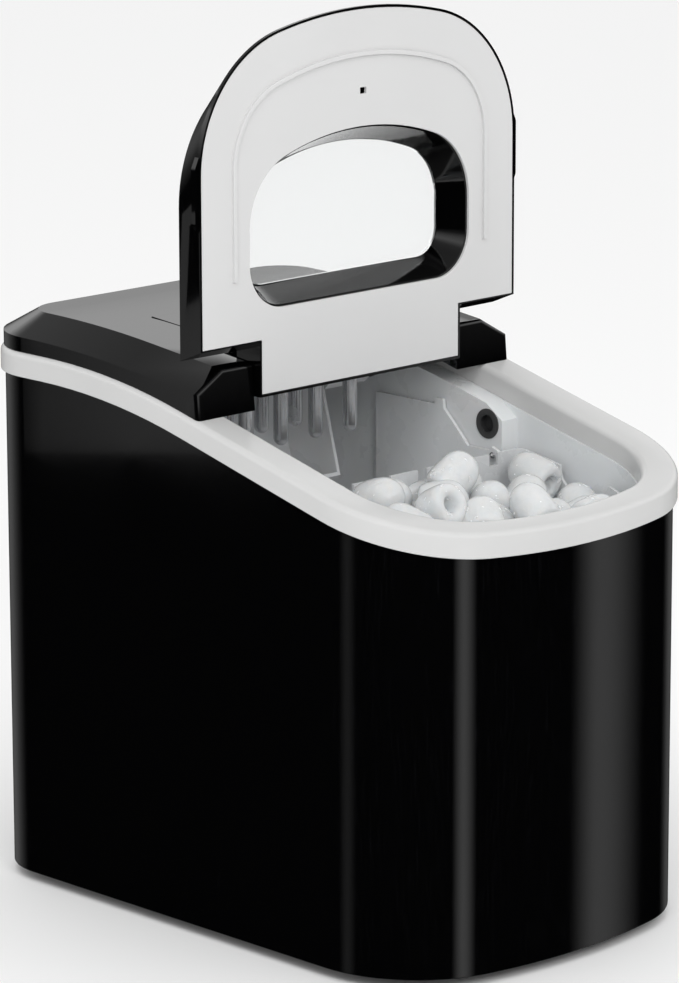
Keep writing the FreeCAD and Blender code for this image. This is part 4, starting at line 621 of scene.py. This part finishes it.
# Tones that reflections see, from straight down (0) to straight up (1).
MIRRORED_TONES = ((0.46, 0.001), (0.52, 0.13), (0.62, 0.75), (0.70, 1.1), (0.80, 0.35), (0.90, 0.25))
SOFT_STRENGTH = 0.95


def world():
    """White studio: graded for reflections, even for soft light, and plain white behind."""
    made = bpy.data.worlds.new("studio")
    bpy.context.scene.world = made
    made.use_nodes = True
    nodes, links = made.node_tree.nodes, made.node_tree.links
    room = nodes["Background"]
    way = nodes.new("ShaderNodeTexCoord")
    split = nodes.new("ShaderNodeSeparateXYZ")
    links.new(way.outputs["Generated"], split.inputs["Vector"])
    ramp = nodes.new("ShaderNodeValToRGB")
    tones = ramp.color_ramp.elements
    tones[0].position, tones[1].position = MIRRORED_TONES[0][0], MIRRORED_TONES[-1][0]
    for position, _ in MIRRORED_TONES[1:-1]:
        tones.new(position)
    for stop, (_, tone) in zip(tones, MIRRORED_TONES):
        stop.color = (tone, tone, tone, 1)
    lift = nodes.new("ShaderNodeMapRange")
    lift.inputs["From Min"].default_value = -1
    links.new(split.outputs["Z"], lift.inputs["Value"])
    links.new(lift.outputs["Result"], ramp.inputs["Fac"])
    links.new(ramp.outputs["Color"], room.inputs["Color"])
    soft = nodes.new("ShaderNodeBackground")
    soft.inputs["Color"].default_value = (1, 1, 1, 1)
    soft.inputs["Strength"].default_value = SOFT_STRENGTH
    plain = nodes.new("ShaderNodeBackground")
    plain.inputs["Color"].default_value = (1, 1, 1, 1)
    rays = nodes.new("ShaderNodeLightPath")
    seen = nodes.new("ShaderNodeMath")
    seen.operation = "MAXIMUM"
    links.new(rays.outputs["Is Camera Ray"], seen.inputs[0])
    links.new(rays.outputs["Is Transmission Ray"], seen.inputs[1])
    shine = nodes.new("ShaderNodeMixShader")
    links.new(rays.outputs["Is Glossy Ray"], shine.inputs["Fac"])
    links.new(soft.outputs["Background"], shine.inputs[1])
    links.new(room.outputs["Background"], shine.inputs[2])
    mix = nodes.new("ShaderNodeMixShader")
    links.new(seen.outputs[0], mix.inputs["Fac"])
    links.new(shine.outputs["Shader"], mix.inputs[1])
    links.new(plain.outputs["Background"], mix.inputs[2])
    links.new(mix.outputs["Shader"], nodes["World Output"].inputs["Surface"])


def soft_light(name, place, aim, size, power):
    """Round lamp that no reflection shows."""
    data = bpy.data.lights.new(name, "AREA")
    data.shape = "DISK"
    data.size = size
    data.energy = power
    thing = bpy.data.objects.new(name, data)
    bpy.context.scene.collection.objects.link(thing)
    thing.location = place
    way = Vector(aim) - Vector(place)
    thing.rotation_euler = way.to_track_quat("-Z", "Y").to_euler()
    thing.visible_glossy = False


camera()
floor()
world()
soft_light("key", (-1.6, -1.3, 2.2), (0, 0, 0.25), 1.2, 14)
soft_light("fill", (-0.9, -2.2, 1.5), (0, 0, 0.28), 0.8, 12)
strip("strip_left", 163, 20, 0.15)
strip("strip_middle", 267, 24, 0.78, 0.45)
strip("strip_right", 323, 25, 0.5, 0.35)
strip("strip_rear", 90, 70, 0.22)
strip("strip_far_right", 15, 44, 0.12)
strip("strip_lid", 136, 22, 0.35, levels=(-0.27, -0.08))
bpy.context.scene.view_settings.view_transform = "Standard"
